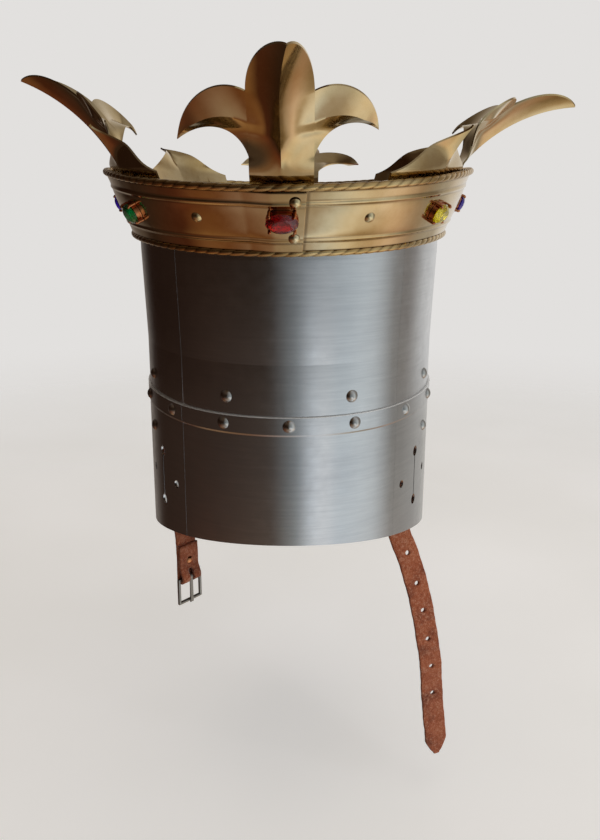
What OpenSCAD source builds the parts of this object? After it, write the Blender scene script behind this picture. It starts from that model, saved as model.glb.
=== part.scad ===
// Crowned great helm: a riveted steel shell on an oval plan, with a flared brass crown carried on
// brackets, a suspension liner inside and two leather chin straps, one with a buckle.
// Frame: +Z up, the face looks along +Y, the back of the helm along -Y. The origin is the point
// where the top of the wearer's head meets the liner.

/* [Shell] */
// Half width of the upper plates at the waist, outside
shell_half_w = 114.8; // [100:0.1:130]
// Half length of the upper plates at the waist, front to back, outside
shell_half_l = 142.6; // [135:0.1:160]
// Radius of the rounded front and back of the plan
shell_end_r = 99.6; // [85:0.1:105]
// Thickness of every steel plate
plate_t = 1.4; // [1:0.1:2]
// How far the top of the shell stands out beyond the waist
flare_out = 2.6; // [0:0.1:5]
// Height of the waist, where the flare starts
waist_z = -75; // [-85:1:-40]
// Height where the flare ends and the wall goes straight up
flare_z = -5; // [-25:1:5]
// Height of the top edge of the upper plates
shell_top_z = 28; // [22:1:40]
// Height of the joint, the top edge of the lower plates
seam_z = -111; // [-125:1:-108]
// Height of the lap where the lower plates cover the upper ones
lap_h = 12.4; // [11:0.1:18]
// How far the lower plates stand out beyond the upper ones below the lap
lower_set = 0.6; // [0.3:0.1:1]
// Running gap between two lapped plates
lap_gap = 0.1; // [0.05:0.05:0.2]
// Height of the rim at the back
rim_back_z = -205.8; // [-225:0.1:-200]
// Height of the rim at the front
rim_front_z = -267; // [-290:0.1:-240]
// Depth of the lowest side seam rivet below the joint
lower_seam_l = 98; // [80:1:108]
// Turn past the widest point at which the front plates start to cover the back ones
side_seam_a = 6; // [4:0.5:9]
// Width of the side laps
side_lap_w = 16; // [14:0.5:20]

/* [Top plate] */
// Depth of the top plate's turned down flange
top_flange_h = 14; // [12:0.5:18]
// Bevel between the flange and the flat of the top plate
top_bevel = 4; // [2:0.5:6]

/* [Openings] */
// Height of each eye slit
sight_h = 7; // [6:0.5:9]
// Width of the bridge between the eye slits
sight_bridge = 22; // [16:1:30]
// Reach of each eye slit to the side of the middle line
sight_reach = 84; // [70:1:90]
// Radius of the breathing holes
breath_r = 2.5; // [2:0.1:3.5]
// Spacing of the breathing holes
breath_pitch = 12; // [10:0.5:15]
// Height of the top row of breathing holes
breath_z = -146; // [-155:1:-142]
// Place of each cross along the wall, from the back's middle line
cross_arc = 124; // [115:1:132]
// Height of the cross's upper round hole
cross_z = -156; // [-165:1:-150]
// Distance from the upper round hole to the lower one
cross_h = 39.5; // [30:0.5:42]
// Radius of the cross's upper and lower holes
cross_end_r = 4; // [3:0.1:4.5]
// Radius of the cross's side holes
cross_side_r = 3; // [2:0.1:4]
// Distance of the side holes from the slit
cross_side_w = 24; // [16:0.5:26]
// Width of the cross's upright slit
cross_slit = 1.2; // [0.8:0.1:2]
// Height of the front crosses' upper holes, where a guard chain's toggle would go
front_cross_z = -196; // [-205:1:-190]

/* [Rivets] */
// Radius of the steel rivet heads
head_r = 4.5; // [3.5:0.1:5]
// Height of the steel rivet heads
head_h = 2.5; // [1.5:0.1:3]
// Radius of the rivet shanks
shank_r = 2; // [1.5:0.1:2.5]
// Gap round a shank in its hole
rivet_gap = 0.05; // [0.02:0.01:0.1]
// Radius of the closed rivet ends inside
closed_r = 3.4; // [3:0.1:4]
// Height of the closed rivet ends
closed_h = 1.2; // [0.8:0.1:2]
// Drop of the joint rivets below the joint's edge
joint_rivet_drop = 6.3; // [5:0.1:7]
// Height of the liner rivets above the joint's edge
liner_rivet_rise = 12.5; // [11:0.1:16]
// Drop of the strap rivets below the joint's edge
strap_rivet_drop = 29.5; // [26:0.5:34]
// Place of the strap rivets along the wall, from the back's middle line
strap_arc = 145; // [140:1:150]

/* [Liner] */
// Height of the leather band that the rivets hold
liner_band_h = 16; // [12:0.5:20]
// Thickness of the liner leather
liner_t = 2; // [1.5:0.1:3]
// Width of each liner tongue where it leaves the band
tongue_w = 62; // [40:1:70]
// Width of each liner tongue at its tip
tongue_tip_w = 14; // [8:1:16]
// Radius of the lace ring that draws the tongues together
lace_r = 30; // [27:1:36]
// Radius of the lace cord
lace_cord_r = 1.6; // [1:0.1:2.5]

/* [Crown] */
// Turn of the crown on the helm, seen from above
crown_turn = -1.4; // [-4:0.1:4]
// Distance from the shell's waist line out to the crown's bottom edge, at the front and back
crown_foot = 9.8; // [8:0.1:14]
// Distance from the shell's waist line out to the crown's bottom edge, at the sides
crown_foot_side = 5.7; // [5.7:0.1:12]
// Slant height of the crown, borders included
crown_w = 54; // [46:0.5:60]
// Lean of the crown's wall at the sides
flare_side_a = 21; // [16:0.5:28]
// Lean of the crown's wall at the front and back
flare_end_a = 35; // [28:0.5:38]
// Height of the crown's bottom edge at the sides
foot_side_z = 4; // [0:0.5:8]
// How much lower the bottom edge lies at the front and back
foot_dip = 5.8; // [0:0.1:8]
// Thickness of the brass sheet
brass_t = 1.2; // [0.8:0.1:1.6]
// Radius of the roped borders
rope_r = 2.4; // [2:0.1:3]
// Height of the raised bead lines on the band
bead_h = 0.9; // [0.4:0.1:1.2]
// Place of the bead lines in from each border
bead_in = 8.4; // [7:0.1:10]
// Half width of the bead lines
bead_half_w = 1.6; // [1.2:0.1:1.7]
// Overlap of the band's two ends at the back
band_lap_a = 9; // [8:0.5:12]
// Gap between the band's two lapped ends
band_gap = 0.35; // [0.3:0.05:0.6]
// Radius of the brass rivet heads
brass_head_r = 3.6; // [3:0.1:4.2]
// Turn of each bracket rivet from the front or back middle line
bracket_a = 25.4; // [22:0.1:30]
// Width of each bracket
bracket_w = 14; // [10:0.5:18]

/* [Fleurs] */
// Length of the fleurs above the band, along their middle
fleur_l = 97.4; // [85:0.1:110]
// Half width of the fleurs' stems
fleur_stem = 19.2; // [17:0.1:22]
// Half width over the tips of the side petals
fleur_half_w = 59; // [50:0.5:64]
// Depth of the fold along the fleurs' middle
fleur_fold = 20; // [12:0.5:24]
// Height of the crease along each side petal
petal_ridge = 4.5; // [1:0.1:6]
// Lean of the back fleur above level where it leaves the band
fleur_back_start_a = 55; // [45:1:66]
// Lean of the left fleur above level where it leaves the band
fleur_left_start_a = 61; // [45:1:69]
// Lean of the right fleur above level where it leaves the band
fleur_right_start_a = 51; // [45:1:69]
// Lean of the front fleur above level where it leaves the band
fleur_front_start_a = 38; // [30:1:55]
// Sideways sway of the back fleur's tip
fleur_sway = 5; // [0:0.5:8]
// How much longer the back fleur's left petal is than its right one
fleur_uneven = 5; // [0:0.5:8]
// Turn of the front fleur from the middle line
front_turn = -1.8; // [-3:0.1:3]
// Depth of the fold along the front fleur's middle
fleur_front_fold = 3; // [3:0.5:24]
// Lean of the back fleur's tip above level
fleur_back_a = 27; // [10:1:45]
// Lean of the front fleur's tip above level
fleur_front_a = 2; // [0:1:45]
// Lean of the left fleur's tip above level
fleur_left_a = 21; // [10:1:45]
// Lean of the right fleur's tip above level
fleur_right_a = 3; // [0:1:45]
// Length of the tangs that go down inside the band
tang_l = 31; // [30:0.5:36]
// Half width of the tangs
tang_half_w = 14; // [8:0.5:16]
// Depth of the petals' wide foot behind the top border
foot_l = 8; // [5:0.5:10]
// Length of the broad leaves above the band
leaf_l = 34; // [30:0.5:48]
// Half width of the broad leaves at the band
leaf_half_w = 51; // [40:0.5:54]
// Lean of the back leaves' tips above level
leaf_back_a = 45; // [35:1:60]
// Lean of the front leaves' tips above level
leaf_front_a = 22; // [15:1:60]
// Depth of the fold along the leaves' middle
leaf_fold = 9; // [4:0.5:12]

/* [Gems] */
// Half width of a gem and its setting
setting_half_w = 10.2; // [8:0.1:12]
// How far up from the band's middle the front and back gems sit
gem_up = 3.5; // [0:0.1:4]
// Half height of a gem and its setting
setting_half_h = 7.2; // [6:0.1:8]
// Height of the setting's wall over the band
setting_h = 3.2; // [2.6:0.1:5]
// How far the stone overhangs the setting's wall
setting_over = 0.8; // [0.4:0.1:1.2]
// Rise of the cut stone above its girdle
gem_rise = 3.2; // [2:0.1:4.5]
// Radius of the prongs
prong_r = 1; // [0.8:0.1:1.3]

/* [Straps] */
// Width of the straps
strap_w = 20; // [16:0.5:22]
// Thickness of the straps
strap_t = 2.6; // [2:0.1:3]
// Gap between the wall and the straps riveted to it
strap_off = 0.8; // [0.8:0.1:1.5]
// Radius of the punched holes
punch_r = 2; // [1.5:0.1:2.5]
// Number of punched holes
punch_count = 6; // [4:1:8]
// Spacing of the punched holes
punch_pitch = 25; // [20:0.5:28]
// Height of the first punched hole
punch_z = -252; // [-262:1:-245]
// Height of the buckle's hinge bar
bar_z = -273.8; // [-285:0.1:-268]
// Rise of the rivet that closes the strap's fold, over the hinge bar
fold_rivet_up = 15; // [13:0.5:18]
// Rise of the folded end over the hinge bar
fold_end_up = 29; // [24:0.5:34]
// Radius of the buckle's wire
wire_r = 1.4; // [1:0.1:1.8]
// Length of the buckle, bar centre to bar centre
buckle_l = 21; // [16:0.5:26]
// Gap round the hinge bar and beside the strap
buckle_gap = 0.35; // [0.25:0.05:0.6]
// Width of the buckle's tongue
pin_w = 3; // [2:0.1:4]
// Thickness of the buckle's tongue
pin_t = 1.3; // [1:0.1:1.6]

/* [Hidden] */
$fn = 64;
small = 0.01;
// Gap under a head, foot or edge that rests on another piece
seat_gap = 0.05;
// Length of the tools that cut through one sheet
cutter_l = 20;

// The plan is an oval of four arcs: two end arcs and two flatter side arcs
end_c = shell_half_l - shell_end_r;
side_r = (pow(shell_half_w, 2) + pow(end_c, 2) - pow(shell_end_r, 2)) / (2 * (shell_half_w - shell_end_r));
side_c = side_r - shell_half_w;
join_a = atan2(end_c, side_c);
end_arc = shell_end_r * (90 - join_a) * PI / 180;
quarter_arc = end_arc + side_r * join_a * PI / 180;

// Direction that the wall faces at a distance along it from the back's middle line
function quarter_a(s) = s <= end_arc ? -90 + s / shell_end_r * 180 / PI
    : -join_a + (s - end_arc) / side_r * 180 / PI;
function wall_a(s) = s < 0 ? 180 - wall_a(-s)
    : s <= quarter_arc ? quarter_a(s) : -quarter_a(2 * quarter_arc - s);

// Point of the plan where the wall faces the direction a, at a distance off outside it
function turned(a) = a - 360 * floor((a + 180) / 360);
function facing_side(a) = abs(turned(a)) <= join_a || abs(turned(a)) >= 180 - join_a;
function arc_centre(a) = facing_side(a)
    ? [cos(a) > 0 ? -side_c : side_c, 0] : [0, sin(a) > 0 ? end_c : -end_c];
function arc_r(a) = facing_side(a) ? side_r : shell_end_r;
function facing(a) = [cos(a), sin(a)];
function plan_pt(a, off) = arc_centre(a) + (arc_r(a) + off) * facing(a);
// Distance from the middle of the plan to the wall's tangent line
function reach(a) = plan_pt(a, 0) * facing(a);

// Sweeps a profile of [distance outside the plan, height] along the wall from a0 to a1. Each arc runs
// on a little under the next one, and the side arcs stand a hair out and up so that no two faces coincide.
run_on_a = 0.5;
side_step = 0.05;
module wall_sweep(a0, a1) {
    for (start = [-360 : 360 : 360], i = [0 : 3]) {
        side = i % 2 == 0;
        half = side ? join_a : 90 - join_a;
        lo = max(a0, start + 90 * i - half);
        hi = min(a1, start + 90 * i + half);
        centre = i == 0 ? [-side_c, 0] : i == 1 ? [0, end_c] : i == 2 ? [side_c, 0] : [0, -end_c];
        if (hi > lo + small)
            translate(centre) rotate(lo) rotate_extrude(angle = hi - lo + (hi < a1 ? run_on_a : 0))
                translate(side ? [side_r + side_step, side_step] : [shell_end_r, 0]) children();
    }
}
// The whole way round
module wall_ring() {
    wall_sweep(-join_a, 360 - join_a + small / 2) children();
}

// The oval itself, at a distance off outside the plan
module plan(off) {
    turn_y = (side_r + off) * sin(join_a);
    intersection() {
        translate([-side_c, 0]) circle(side_r + off, $fn = 180);
        translate([side_c, 0]) circle(side_r + off, $fn = 180);
        square([4 * shell_half_w, 2 * turn_y], center = true);
    }
    for (y = [-end_c, end_c]) translate([0, y]) circle(shell_end_r + off, $fn = 180);
}

// Puts its children on the wall: their X axis points straight out of it
module on_wall(a, off, z) {
    p = plan_pt(a, off);
    translate([p[0], p[1], z]) rotate(a) children();
}

// Rivet with a domed head at X = 0 and its closed end at X = -grip
module rivet(grip, r = head_r, h = head_h, inner_r = closed_r) {
    ball_r = (r * r + h * h) / (2 * h);
    rotate([0, 90, 0]) {
        intersection() {
            translate([0, 0, h - ball_r]) sphere(ball_r);
            cylinder(r = r, h = h);
        }
        translate([0, 0, -grip - small]) cylinder(r = shank_r, h = grip + 2 * small);
        translate([0, 0, -grip - closed_h])
            cylinder(r1 = inner_r * 0.75, r2 = inner_r, h = closed_h, $fn = 48);
    }
}

// Hole for a rivet, along X
module rivet_hole(depth = cutter_l) {
    translate([-depth / 2, 0, 0]) rotate([0, 90, 0]) cylinder(r = shank_r + rivet_gap, h = depth);
}

// Rivet places: [distance along the wall] for the joint and the liner, mirrored to both sides
joint_arcs = [0, 47, 101, 155, 209, 262, 314, 362, 2 * quarter_arc];
joint_z = seam_z - joint_rivet_drop;
liner_arcs = [45, 143, 262, 345];
top_arcs = [30, 110, 170, 250, 300, 375];
liner_z = seam_z + liner_rivet_rise;
strap_rivet_z = seam_z - strap_rivet_drop;
strap_a = wall_a(strap_arc);
upper_seam_zs = [waist_z + 8, (waist_z + flare_z) / 2 + 2, flare_z - 4];
lower_seam_zs = [for (share = [0.3, 0.64, 1]) seam_z - share * lower_seam_l];
lap_a = side_lap_w / side_r * 180 / PI;
seam_rivet_a = side_seam_a + lap_a / 2;
top_rivet_z = shell_top_z - top_flange_h / 2;
function both_sides(arcs) = concat([for (s = arcs) wall_a(s)],
    [for (s = arcs) if (s > 0 && s < 2 * quarter_arc - 1) wall_a(-s)]);
joint_as = both_sides(joint_arcs);
liner_as = both_sides(liner_arcs);
top_as = both_sides(top_arcs);

// Upper plates: the wall from under the lap to the top edge, flared above the waist
upper_low_z = seam_z - lap_h + 1.4;
module upper_profile() {
    polygon([[-plate_t, upper_low_z], [0, upper_low_z], [0, waist_z], [flare_out, flare_z],
        [flare_out, shell_top_z], [flare_out - plate_t, shell_top_z],
        [flare_out - plate_t, flare_z], [-plate_t, waist_z]]);
}
// Tab that goes behind the front plate's edge
tab_out = -plate_t - lap_gap;
module upper_tab_profile() {
    translate([tab_out, 0]) upper_profile();
}
module upper_step_profile() {
    upper_profile();
    upper_tab_profile();
    translate([-plate_t + small, 0]) upper_profile();
}

// Lower plates: the wall from the rim up to a step, and the lap that stands outside the upper ones
step_low_z = seam_z - lap_h - 1.4;
step_high_z = seam_z - lap_h;
rim_low_z = rim_front_z - 30;
lap_in = lap_gap;
lap_out = lap_gap + plate_t;
module lower_profile() {
    polygon([[lower_set - plate_t, rim_low_z], [lower_set, rim_low_z], [lower_set, step_low_z],
        [lap_out, step_high_z], [lap_out, seam_z], [lap_in, seam_z], [lap_in, step_high_z + 0.6],
        [lower_set - plate_t, step_low_z + 0.6]]);
}
tab_top_z = step_low_z - 1;
module lower_tab_profile() {
    translate([lower_set - 2 * plate_t - lap_gap, rim_low_z]) square([plate_t, tab_top_z - rim_low_z]);
}
module lower_step_profile() {
    translate([lower_set - 2 * plate_t - lap_gap, rim_low_z])
        square([2 * plate_t + lap_gap, tab_top_z - rim_low_z]);
}

// Everything under the sloping rim, seen from the side, cut away from the lower plates
rim_reach = shell_half_l + 40;
rim_slope = (rim_front_z - rim_back_z) / (2 * shell_half_l);
function rim_z(y) = rim_back_z + rim_slope * (y + shell_half_l);
module rim_cut() {
    rotate([90, 0, 90]) translate([0, 0, -2 * shell_half_w]) linear_extrude(4 * shell_half_w)
        polygon([[-rim_reach, rim_z(-rim_reach)], [rim_reach, rim_z(rim_reach)],
            [rim_reach, rim_low_z - 10], [-rim_reach, rim_low_z - 10]]);
}

// Cross of an upright slit between two round holes, with a round hole on each side
module cross_cut(a, z, turn) {
    on_wall(a, 0, z) {
        for (dz = [0, -cross_h]) translate([-cutter_l / 2, 0, dz]) rotate([0, 90, 0])
            cylinder(r = cross_end_r, h = cutter_l);
        translate([-cutter_l / 2, -cross_slit / 2, -cross_h]) cube([cutter_l, cross_slit, cross_h]);
    }
    for (side = [-1, 1]) on_wall(a + side * turn, 0, z - cross_h / 2)
        translate([-cutter_l / 2, 0, 0]) rotate([0, 90, 0]) cylinder(r = cross_side_r, h = cutter_l);
}
cross_side_a = cross_side_w / side_r * 180 / PI;
back_cross_as = [wall_a(cross_arc), wall_a(-cross_arc)];
front_cross_as = [-wall_a(cross_arc), -wall_a(-cross_arc)];

// Eye slits: round-ended slots just above the joint in the upper front plate
sight_z = seam_z + sight_h / 2 + 0.5;
module sight_cut(side) {
    half = (sight_reach - sight_bridge / 2) / 2;
    mid = sight_bridge / 2 + half;
    r = sight_h / 2;
    translate([side * mid, 0, sight_z]) rotate([-90, 0, 0]) linear_extrude(2 * shell_half_l) {
        square([2 * half - 2 * r, 2 * r], center = true);
        for (end = [-1, 1]) translate([end * (half - r), 0]) circle(r);
    }
}

// Breathing holes: staggered rows on both sides of the middle line of the lower front plate
breath_rows = 4;
breath_cols = 4;
breath_from = 22;
module breath_cuts() {
    for (side = [-1, 1], row = [0 : breath_rows - 1], col = [0 : breath_cols - 1]) {
        s = 2 * quarter_arc - (breath_from + breath_pitch * (col + (row % 2) / 2));
        on_wall(wall_a(side * s), 0, breath_z - breath_pitch * row) translate([-cutter_l / 2, 0, 0])
            rotate([0, 90, 0]) cylinder(r = breath_r, h = cutter_l, $fn = 32);
    }
}

back_from = 180 - side_seam_a;
back_to = 360 + side_seam_a;
step_a = 0.6;

module upper_back_plate() {
    color("slategray") difference() {
        union() {
            wall_sweep(back_from, back_to) upper_profile();
            for (a = [back_from, back_to - step_a]) wall_sweep(a, a + step_a) upper_step_profile();
            wall_sweep(back_from - lap_a, back_from + step_a / 2) upper_tab_profile();
            wall_sweep(back_to - step_a / 2, back_to + lap_a) upper_tab_profile();
        }
        upper_holes();
    }
}

module upper_front_plate() {
    color("slategray") difference() {
        wall_sweep(side_seam_a + 0.05, 180 - side_seam_a - 0.05) upper_profile();
        upper_holes();
        for (side = [-1, 1]) sight_cut(side);
    }
}

// Rivet holes of the upper plates
module upper_holes() {
    for (a = joint_as) on_wall(a, 0, joint_z) rivet_hole();
    for (a = liner_as) on_wall(a, 0, liner_z) rivet_hole();
    for (a = top_as) on_wall(a, flare_out, top_rivet_z) rivet_hole();
    for (a = [seam_rivet_a, 180 - seam_rivet_a], z = upper_seam_zs) on_wall(a, 0, z) rivet_hole();
    for (side = [0, 1], end = [-1, 1]) bracket_place(side, end) bracket_shell_hole();
}

module lower_back_plate() {
    color("lightslategray") difference() {
        union() {
            wall_sweep(back_from, back_to) lower_profile();
            for (a = [back_from, back_to - step_a]) wall_sweep(a, a + step_a) lower_step_profile();
            wall_sweep(back_from - lap_a, back_from + step_a / 2) lower_tab_profile();
            wall_sweep(back_to - step_a / 2, back_to + lap_a) lower_tab_profile();
        }
        rim_cut();
        lower_holes();
        for (a = back_cross_as) cross_cut(a, cross_z, cross_side_a);
    }
}

module lower_front_plate() {
    color("lightslategray") difference() {
        wall_sweep(side_seam_a + 0.05, 180 - side_seam_a - 0.05) lower_profile();
        rim_cut();
        lower_holes();
        breath_cuts();
        for (a = front_cross_as) cross_cut(a, front_cross_z, cross_side_a);
    }
}

// Rivet holes of the lower plates
module lower_holes() {
    for (a = joint_as) on_wall(a, 0, joint_z) rivet_hole();
    for (a = [strap_a, 180 - strap_a]) on_wall(a, 0, strap_rivet_z) rivet_hole();
    for (a = [seam_rivet_a, 180 - seam_rivet_a], z = lower_seam_zs) on_wall(a, 0, z) rivet_hole();
}

// Top plate: a flat oval with a bevel and a flange that covers the upper plates' edge
flange_in = flare_out + lap_gap;
flange_out = flange_in + plate_t;
top_under_z = shell_top_z + lap_gap;
module top_plate() {
    color("slategray") difference() {
        union() {
            wall_ring() polygon([[flange_in, shell_top_z - top_flange_h],
                [flange_out, shell_top_z - top_flange_h], [flange_out, top_under_z],
                [flange_out - top_bevel, top_under_z + top_bevel / 2 + plate_t],
                [flange_out - top_bevel - plate_t, top_under_z + top_bevel / 2 + plate_t],
                [flange_out - top_bevel - plate_t, top_under_z + top_bevel / 2], [flange_in, top_under_z]]);
            translate([0, 0, top_under_z + top_bevel / 2]) linear_extrude(plate_t)
                plan(flange_out - top_bevel - plate_t / 2);
        }
        for (a = top_as) on_wall(a, flare_out, top_rivet_z) rivet_hole();
    }
}

top_head_r = 3.6;
top_head_h = 1.8;
top_closed_r = 3;
module top_rivets() {
    color("gray") for (a = top_as) on_wall(a, flange_out + lap_gap / 2, top_rivet_z)
        rivet(2 * plate_t + 2 * lap_gap, top_head_r, top_head_h, top_closed_r);
}

module joint_rivets() {
    color("gray") for (a = joint_as)
        on_wall(a, lap_out + lap_gap / 2, joint_z) rivet(2 * plate_t + 2 * lap_gap);
}

// A flat rivet head needs this much more room on the sloping wall
slope_gap = 0.22;
module side_seam_rivets() {
    color("gray") for (a = [seam_rivet_a, 180 - seam_rivet_a]) {
        for (z = upper_seam_zs) on_wall(a, upper_out(z) + side_step + slope_gap, z)
            rivet(2 * plate_t + 2 * slope_gap + lap_gap);
        for (z = lower_seam_zs) on_wall(a, lower_set + side_step + lap_gap / 2, z)
            rivet(2 * plate_t + 2 * lap_gap);
    }
}
// Outside of the upper wall at a height, measured from the plan
function upper_out(z) = z <= waist_z ? 0 : z >= flare_z ? flare_out
    : flare_out * (z - waist_z) / (flare_z - waist_z);

// Liner: a leather band inside the wall, clear of the side tabs
liner_out = -2 * plate_t - 2 * lap_gap - 0.2;
liner_rivet_up = 4.5;
liner_low_z = liner_z - liner_rivet_up;
module liner_band() {
    color("saddlebrown") difference() {
        wall_ring() translate([liner_out - liner_t, liner_low_z]) square([liner_t, liner_band_h]);
        for (a = liner_as) on_wall(a, 0, liner_z) rivet_hole();
    }
}

module liner_rivets() {
    color("gray") for (a = liner_as)
        on_wall(a, lap_gap / 2, liner_z) rivet(liner_t - liner_out + lap_gap);
}

// Liner tongues: each is sewn to the band's inner face and arches up to the lace ring
tongue_arcs = [0, 94, 203, 305, 2 * quarter_arc];
tongue_steps = 12;
tongue_cols = 4;
tongue_in = liner_out - liner_t - seat_gap;
tongue_tip_r = lace_r - 4;
// Point of a tongue: k steps up it, c from -1 to 1 across it, drop inside its outer face
function tongue_pt(s, k, c, drop) = let(
        middle = plan_pt(wall_a(s), 0), d = middle / norm(middle), q = k / tongue_steps * 90,
        foot = plan_pt(wall_a(s + c * tongue_w / 2), tongue_in - drop),
        tip = d * (tongue_tip_r - drop / 4) + [-d[1], d[0]] * c * tongue_tip_w / 2,
        flat = foot + (tip - foot) * (1 - cos(q)))
    [flat[0], flat[1], liner_low_z + (liner_t - drop - liner_low_z) * sin(q)];
function tongue_grid(s, drop) = [for (k = [0 : tongue_steps])
    [for (j = [0 : tongue_cols]) tongue_pt(s, k, 2 * j / tongue_cols - 1, drop)]];
// Faces of a ribbon whose points come as outer left, outer right, inner left, inner right
function ribbon_faces(n) = concat([[0, 1, 3, 2]], [[4 * n, 4 * n + 2, 4 * n + 3, 4 * n + 1]],
    [for (k = [0 : n - 1], q = [[0, 1], [1, 3], [3, 2], [2, 0]])
        each let(b = 4 * k, c = 4 * k + 4) [[b + q[1], b + q[0], c + q[0]], [b + q[1], c + q[0], c + q[1]]]]);
module liner_tongues() {
    color("burlywood") for (s = tongue_arcs, side = [-1, 1])
        if (side > 0 || (s > 0 && s < 2 * quarter_arc - small))
            sheet(tongue_grid(side * s, 0), tongue_grid(side * s, liner_t));
}

module liner_lace() {
    color("peru") translate([0, 0, liner_t + lace_cord_r + 0.1]) rotate_extrude()
        translate([lace_r, 0]) circle(lace_cord_r, $fn = 24);
}

// Crown wall: how far along the oval it is towards the front or back, 0 at the sides and 1 there
function end_share(a) = pow(plan_pt(a, 0)[1] / shell_half_l, 2);
function foot_out(a) = crown_foot_side + (crown_foot - crown_foot_side) * end_share(a);
function lean(a) = flare_side_a + (flare_end_a - flare_side_a) * end_share(a);
function foot_z(a) = foot_side_z - foot_dip * end_share(a);
// Point of the crown at a slant height w, at a distance off outside the middle of its sheet
function crown_pt(a, w, off) = let(l = lean(a),
        p = plan_pt(a, foot_out(a) + w * sin(l) + off * cos(l)))
    [p[0], p[1], foot_z(a) + w * cos(l) - off * sin(l)];

sheet_low = 2 * rope_r;
sheet_high = crown_w - 2 * rope_r;
seam_a = -90 + 6.2;
band_steps = 90;
// Profile of the sheet: [slant height, outside], with a bead line near each border
low_bead_w = sheet_low + bead_in;
high_bead_w = sheet_high - bead_in;
panel_rise = 0.8;
band_profile = [[sheet_low, 0], [low_bead_w - bead_half_w, 0], [low_bead_w, bead_h],
    [low_bead_w + bead_half_w, panel_rise / 4], [crown_w / 2, panel_rise],
    [high_bead_w - bead_half_w, panel_rise / 4], [high_bead_w, bead_h], [high_bead_w + bead_half_w, 0],
    [sheet_high, 0]];
profile_n = len(band_profile);
// The last stretch of the band rises over its other end
function over(t) = let(lap = band_lap_a / (360 + band_lap_a), rise = 0.02)
    t < 1 - lap - rise ? 0 : t > 1 - lap ? brass_t + band_gap
    : (brass_t + band_gap) * (t - 1 + lap + rise) / rise;
module crown_sheet() {
    points = [for (i = [0 : band_steps]) let(t = i / band_steps, up = over(t),
            a = seam_a + 360 - (1 - t) * (360 + band_lap_a))
        each concat([for (p = band_profile) crown_pt(a, p[0], p[1] + up - brass_t / 2)],
            [for (j = [profile_n - 1 : -1 : 0]) crown_pt(a, band_profile[j][0],
                band_profile[j][1] + up + brass_t / 2)])];
    polyhedron(points, loop_faces(band_steps, 2 * profile_n, false));
}
// Faces of a tube of rings, turned so that they face out for rings that run clockwise
function loop_faces(n, m, closed) = concat(
    closed ? [] : [[for (j = [0 : m - 1]) j], [for (j = [m - 1 : -1 : 0]) n * m + j]],
    [for (i = [0 : closed ? n - 1 : n - 1], j = [0 : m - 1])
        let(b = i * m, c = (closed ? (i + 1) % n : i + 1) * m, k = (j + 1) % m)
        each [[b + j, c + j, c + k], [b + j, c + k, b + k]]]);

// Places on the crown: local X points straight out of its wall, local Z up along the slant
module on_crown(a, w, off) {
    p = crown_pt(a, w, off);
    rotate(crown_turn) translate(p) rotate(a) rotate([0, lean(a), 0]) children();
}
// Direction straight out of the crown's surface
function crown_normal(a, w) = let(around = crown_pt(a + 0.5, w, 0) - crown_pt(a - 0.5, w, 0),
        n = cross(around, crown_pt(a, w + 1, 0) - crown_pt(a, w - 1, 0))) n / norm(n);
crown_mid = crown_w / 2;
rivet_up = crown_w / 2 + 2;
seam_rivet_ws = [crown_w / 2 - 11, crown_w / 2 + 15.5];
seam_rivet_place_a = -90 + 3.4;
bracket_as = [-90 + bracket_a, -90 - bracket_a, 90 - bracket_a, 90 + bracket_a];
leaf_a = 35;
leaf_turn = -2.2;
gem_as = [-90, -leaf_a, 0, leaf_a, 90, 180 - leaf_a, 180, 180 + leaf_a];
function gem_w(a) = crown_mid + (abs(cos(a)) < small ? gem_up : 0);
// The back gem sits on the band's lap
function gem_off(a) = panel_out + seat_gap + (a == gem_as[0] ? brass_t + band_gap : 0);
post_r = 1.2;
post_end_r = 2.2;
post_end_h = 1;
// Places of the gems, square to the crown's surface and at a distance outside the middle of its sheet
module at_gem(a, out) {
    n = crown_normal(a, gem_w(a));
    rotate(crown_turn) translate(crown_pt(a, gem_w(a), 0) + n * out)
        rotate(atan2(n[1], n[0])) rotate([0, asin(-n[2]), 0]) children();
}

module crown_band() {
    color("goldenrod") difference() {
        rotate(crown_turn) crown_sheet();
        for (a = bracket_as) on_crown(a, rivet_up, 0) rivet_hole(12);
        for (w = seam_rivet_ws) on_crown(seam_rivet_place_a, w, 0) rivet_hole(12);
        for (a = gem_as) at_gem(a, 0) post_hole();
    }
}
module post_hole() {
    translate([-8, 0, 0]) rotate([0, 90, 0]) cylinder(r = post_r + rivet_gap, h = 16, $fn = 24);
}

// Roped border: a round bead along the whole edge
module border(w) {
    sides = 8;
    steps = 84;
    points = [for (i = [0 : steps - 1], j = [0 : sides - 1])
        let(q = j * 360 / sides) crown_pt(-i * 360 / steps, w + rope_r * sin(q), rope_r * cos(q))];
    rotate(crown_turn) polyhedron(points, loop_faces(steps, sides, true));
}
module crown_top_rope() { color("gold") border(crown_w - rope_r + 0.05); }
module crown_bottom_rope() { color("gold") border(rope_r - 0.05); }

// Brackets: bent strips from the shell's wall out to the inside of the band
bracket_t = 1.5;
bracket_gap = 0.15;
bracket_foot_drop = 9;
bracket_foot_z = shell_top_z - top_flange_h - bracket_foot_drop;
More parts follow.
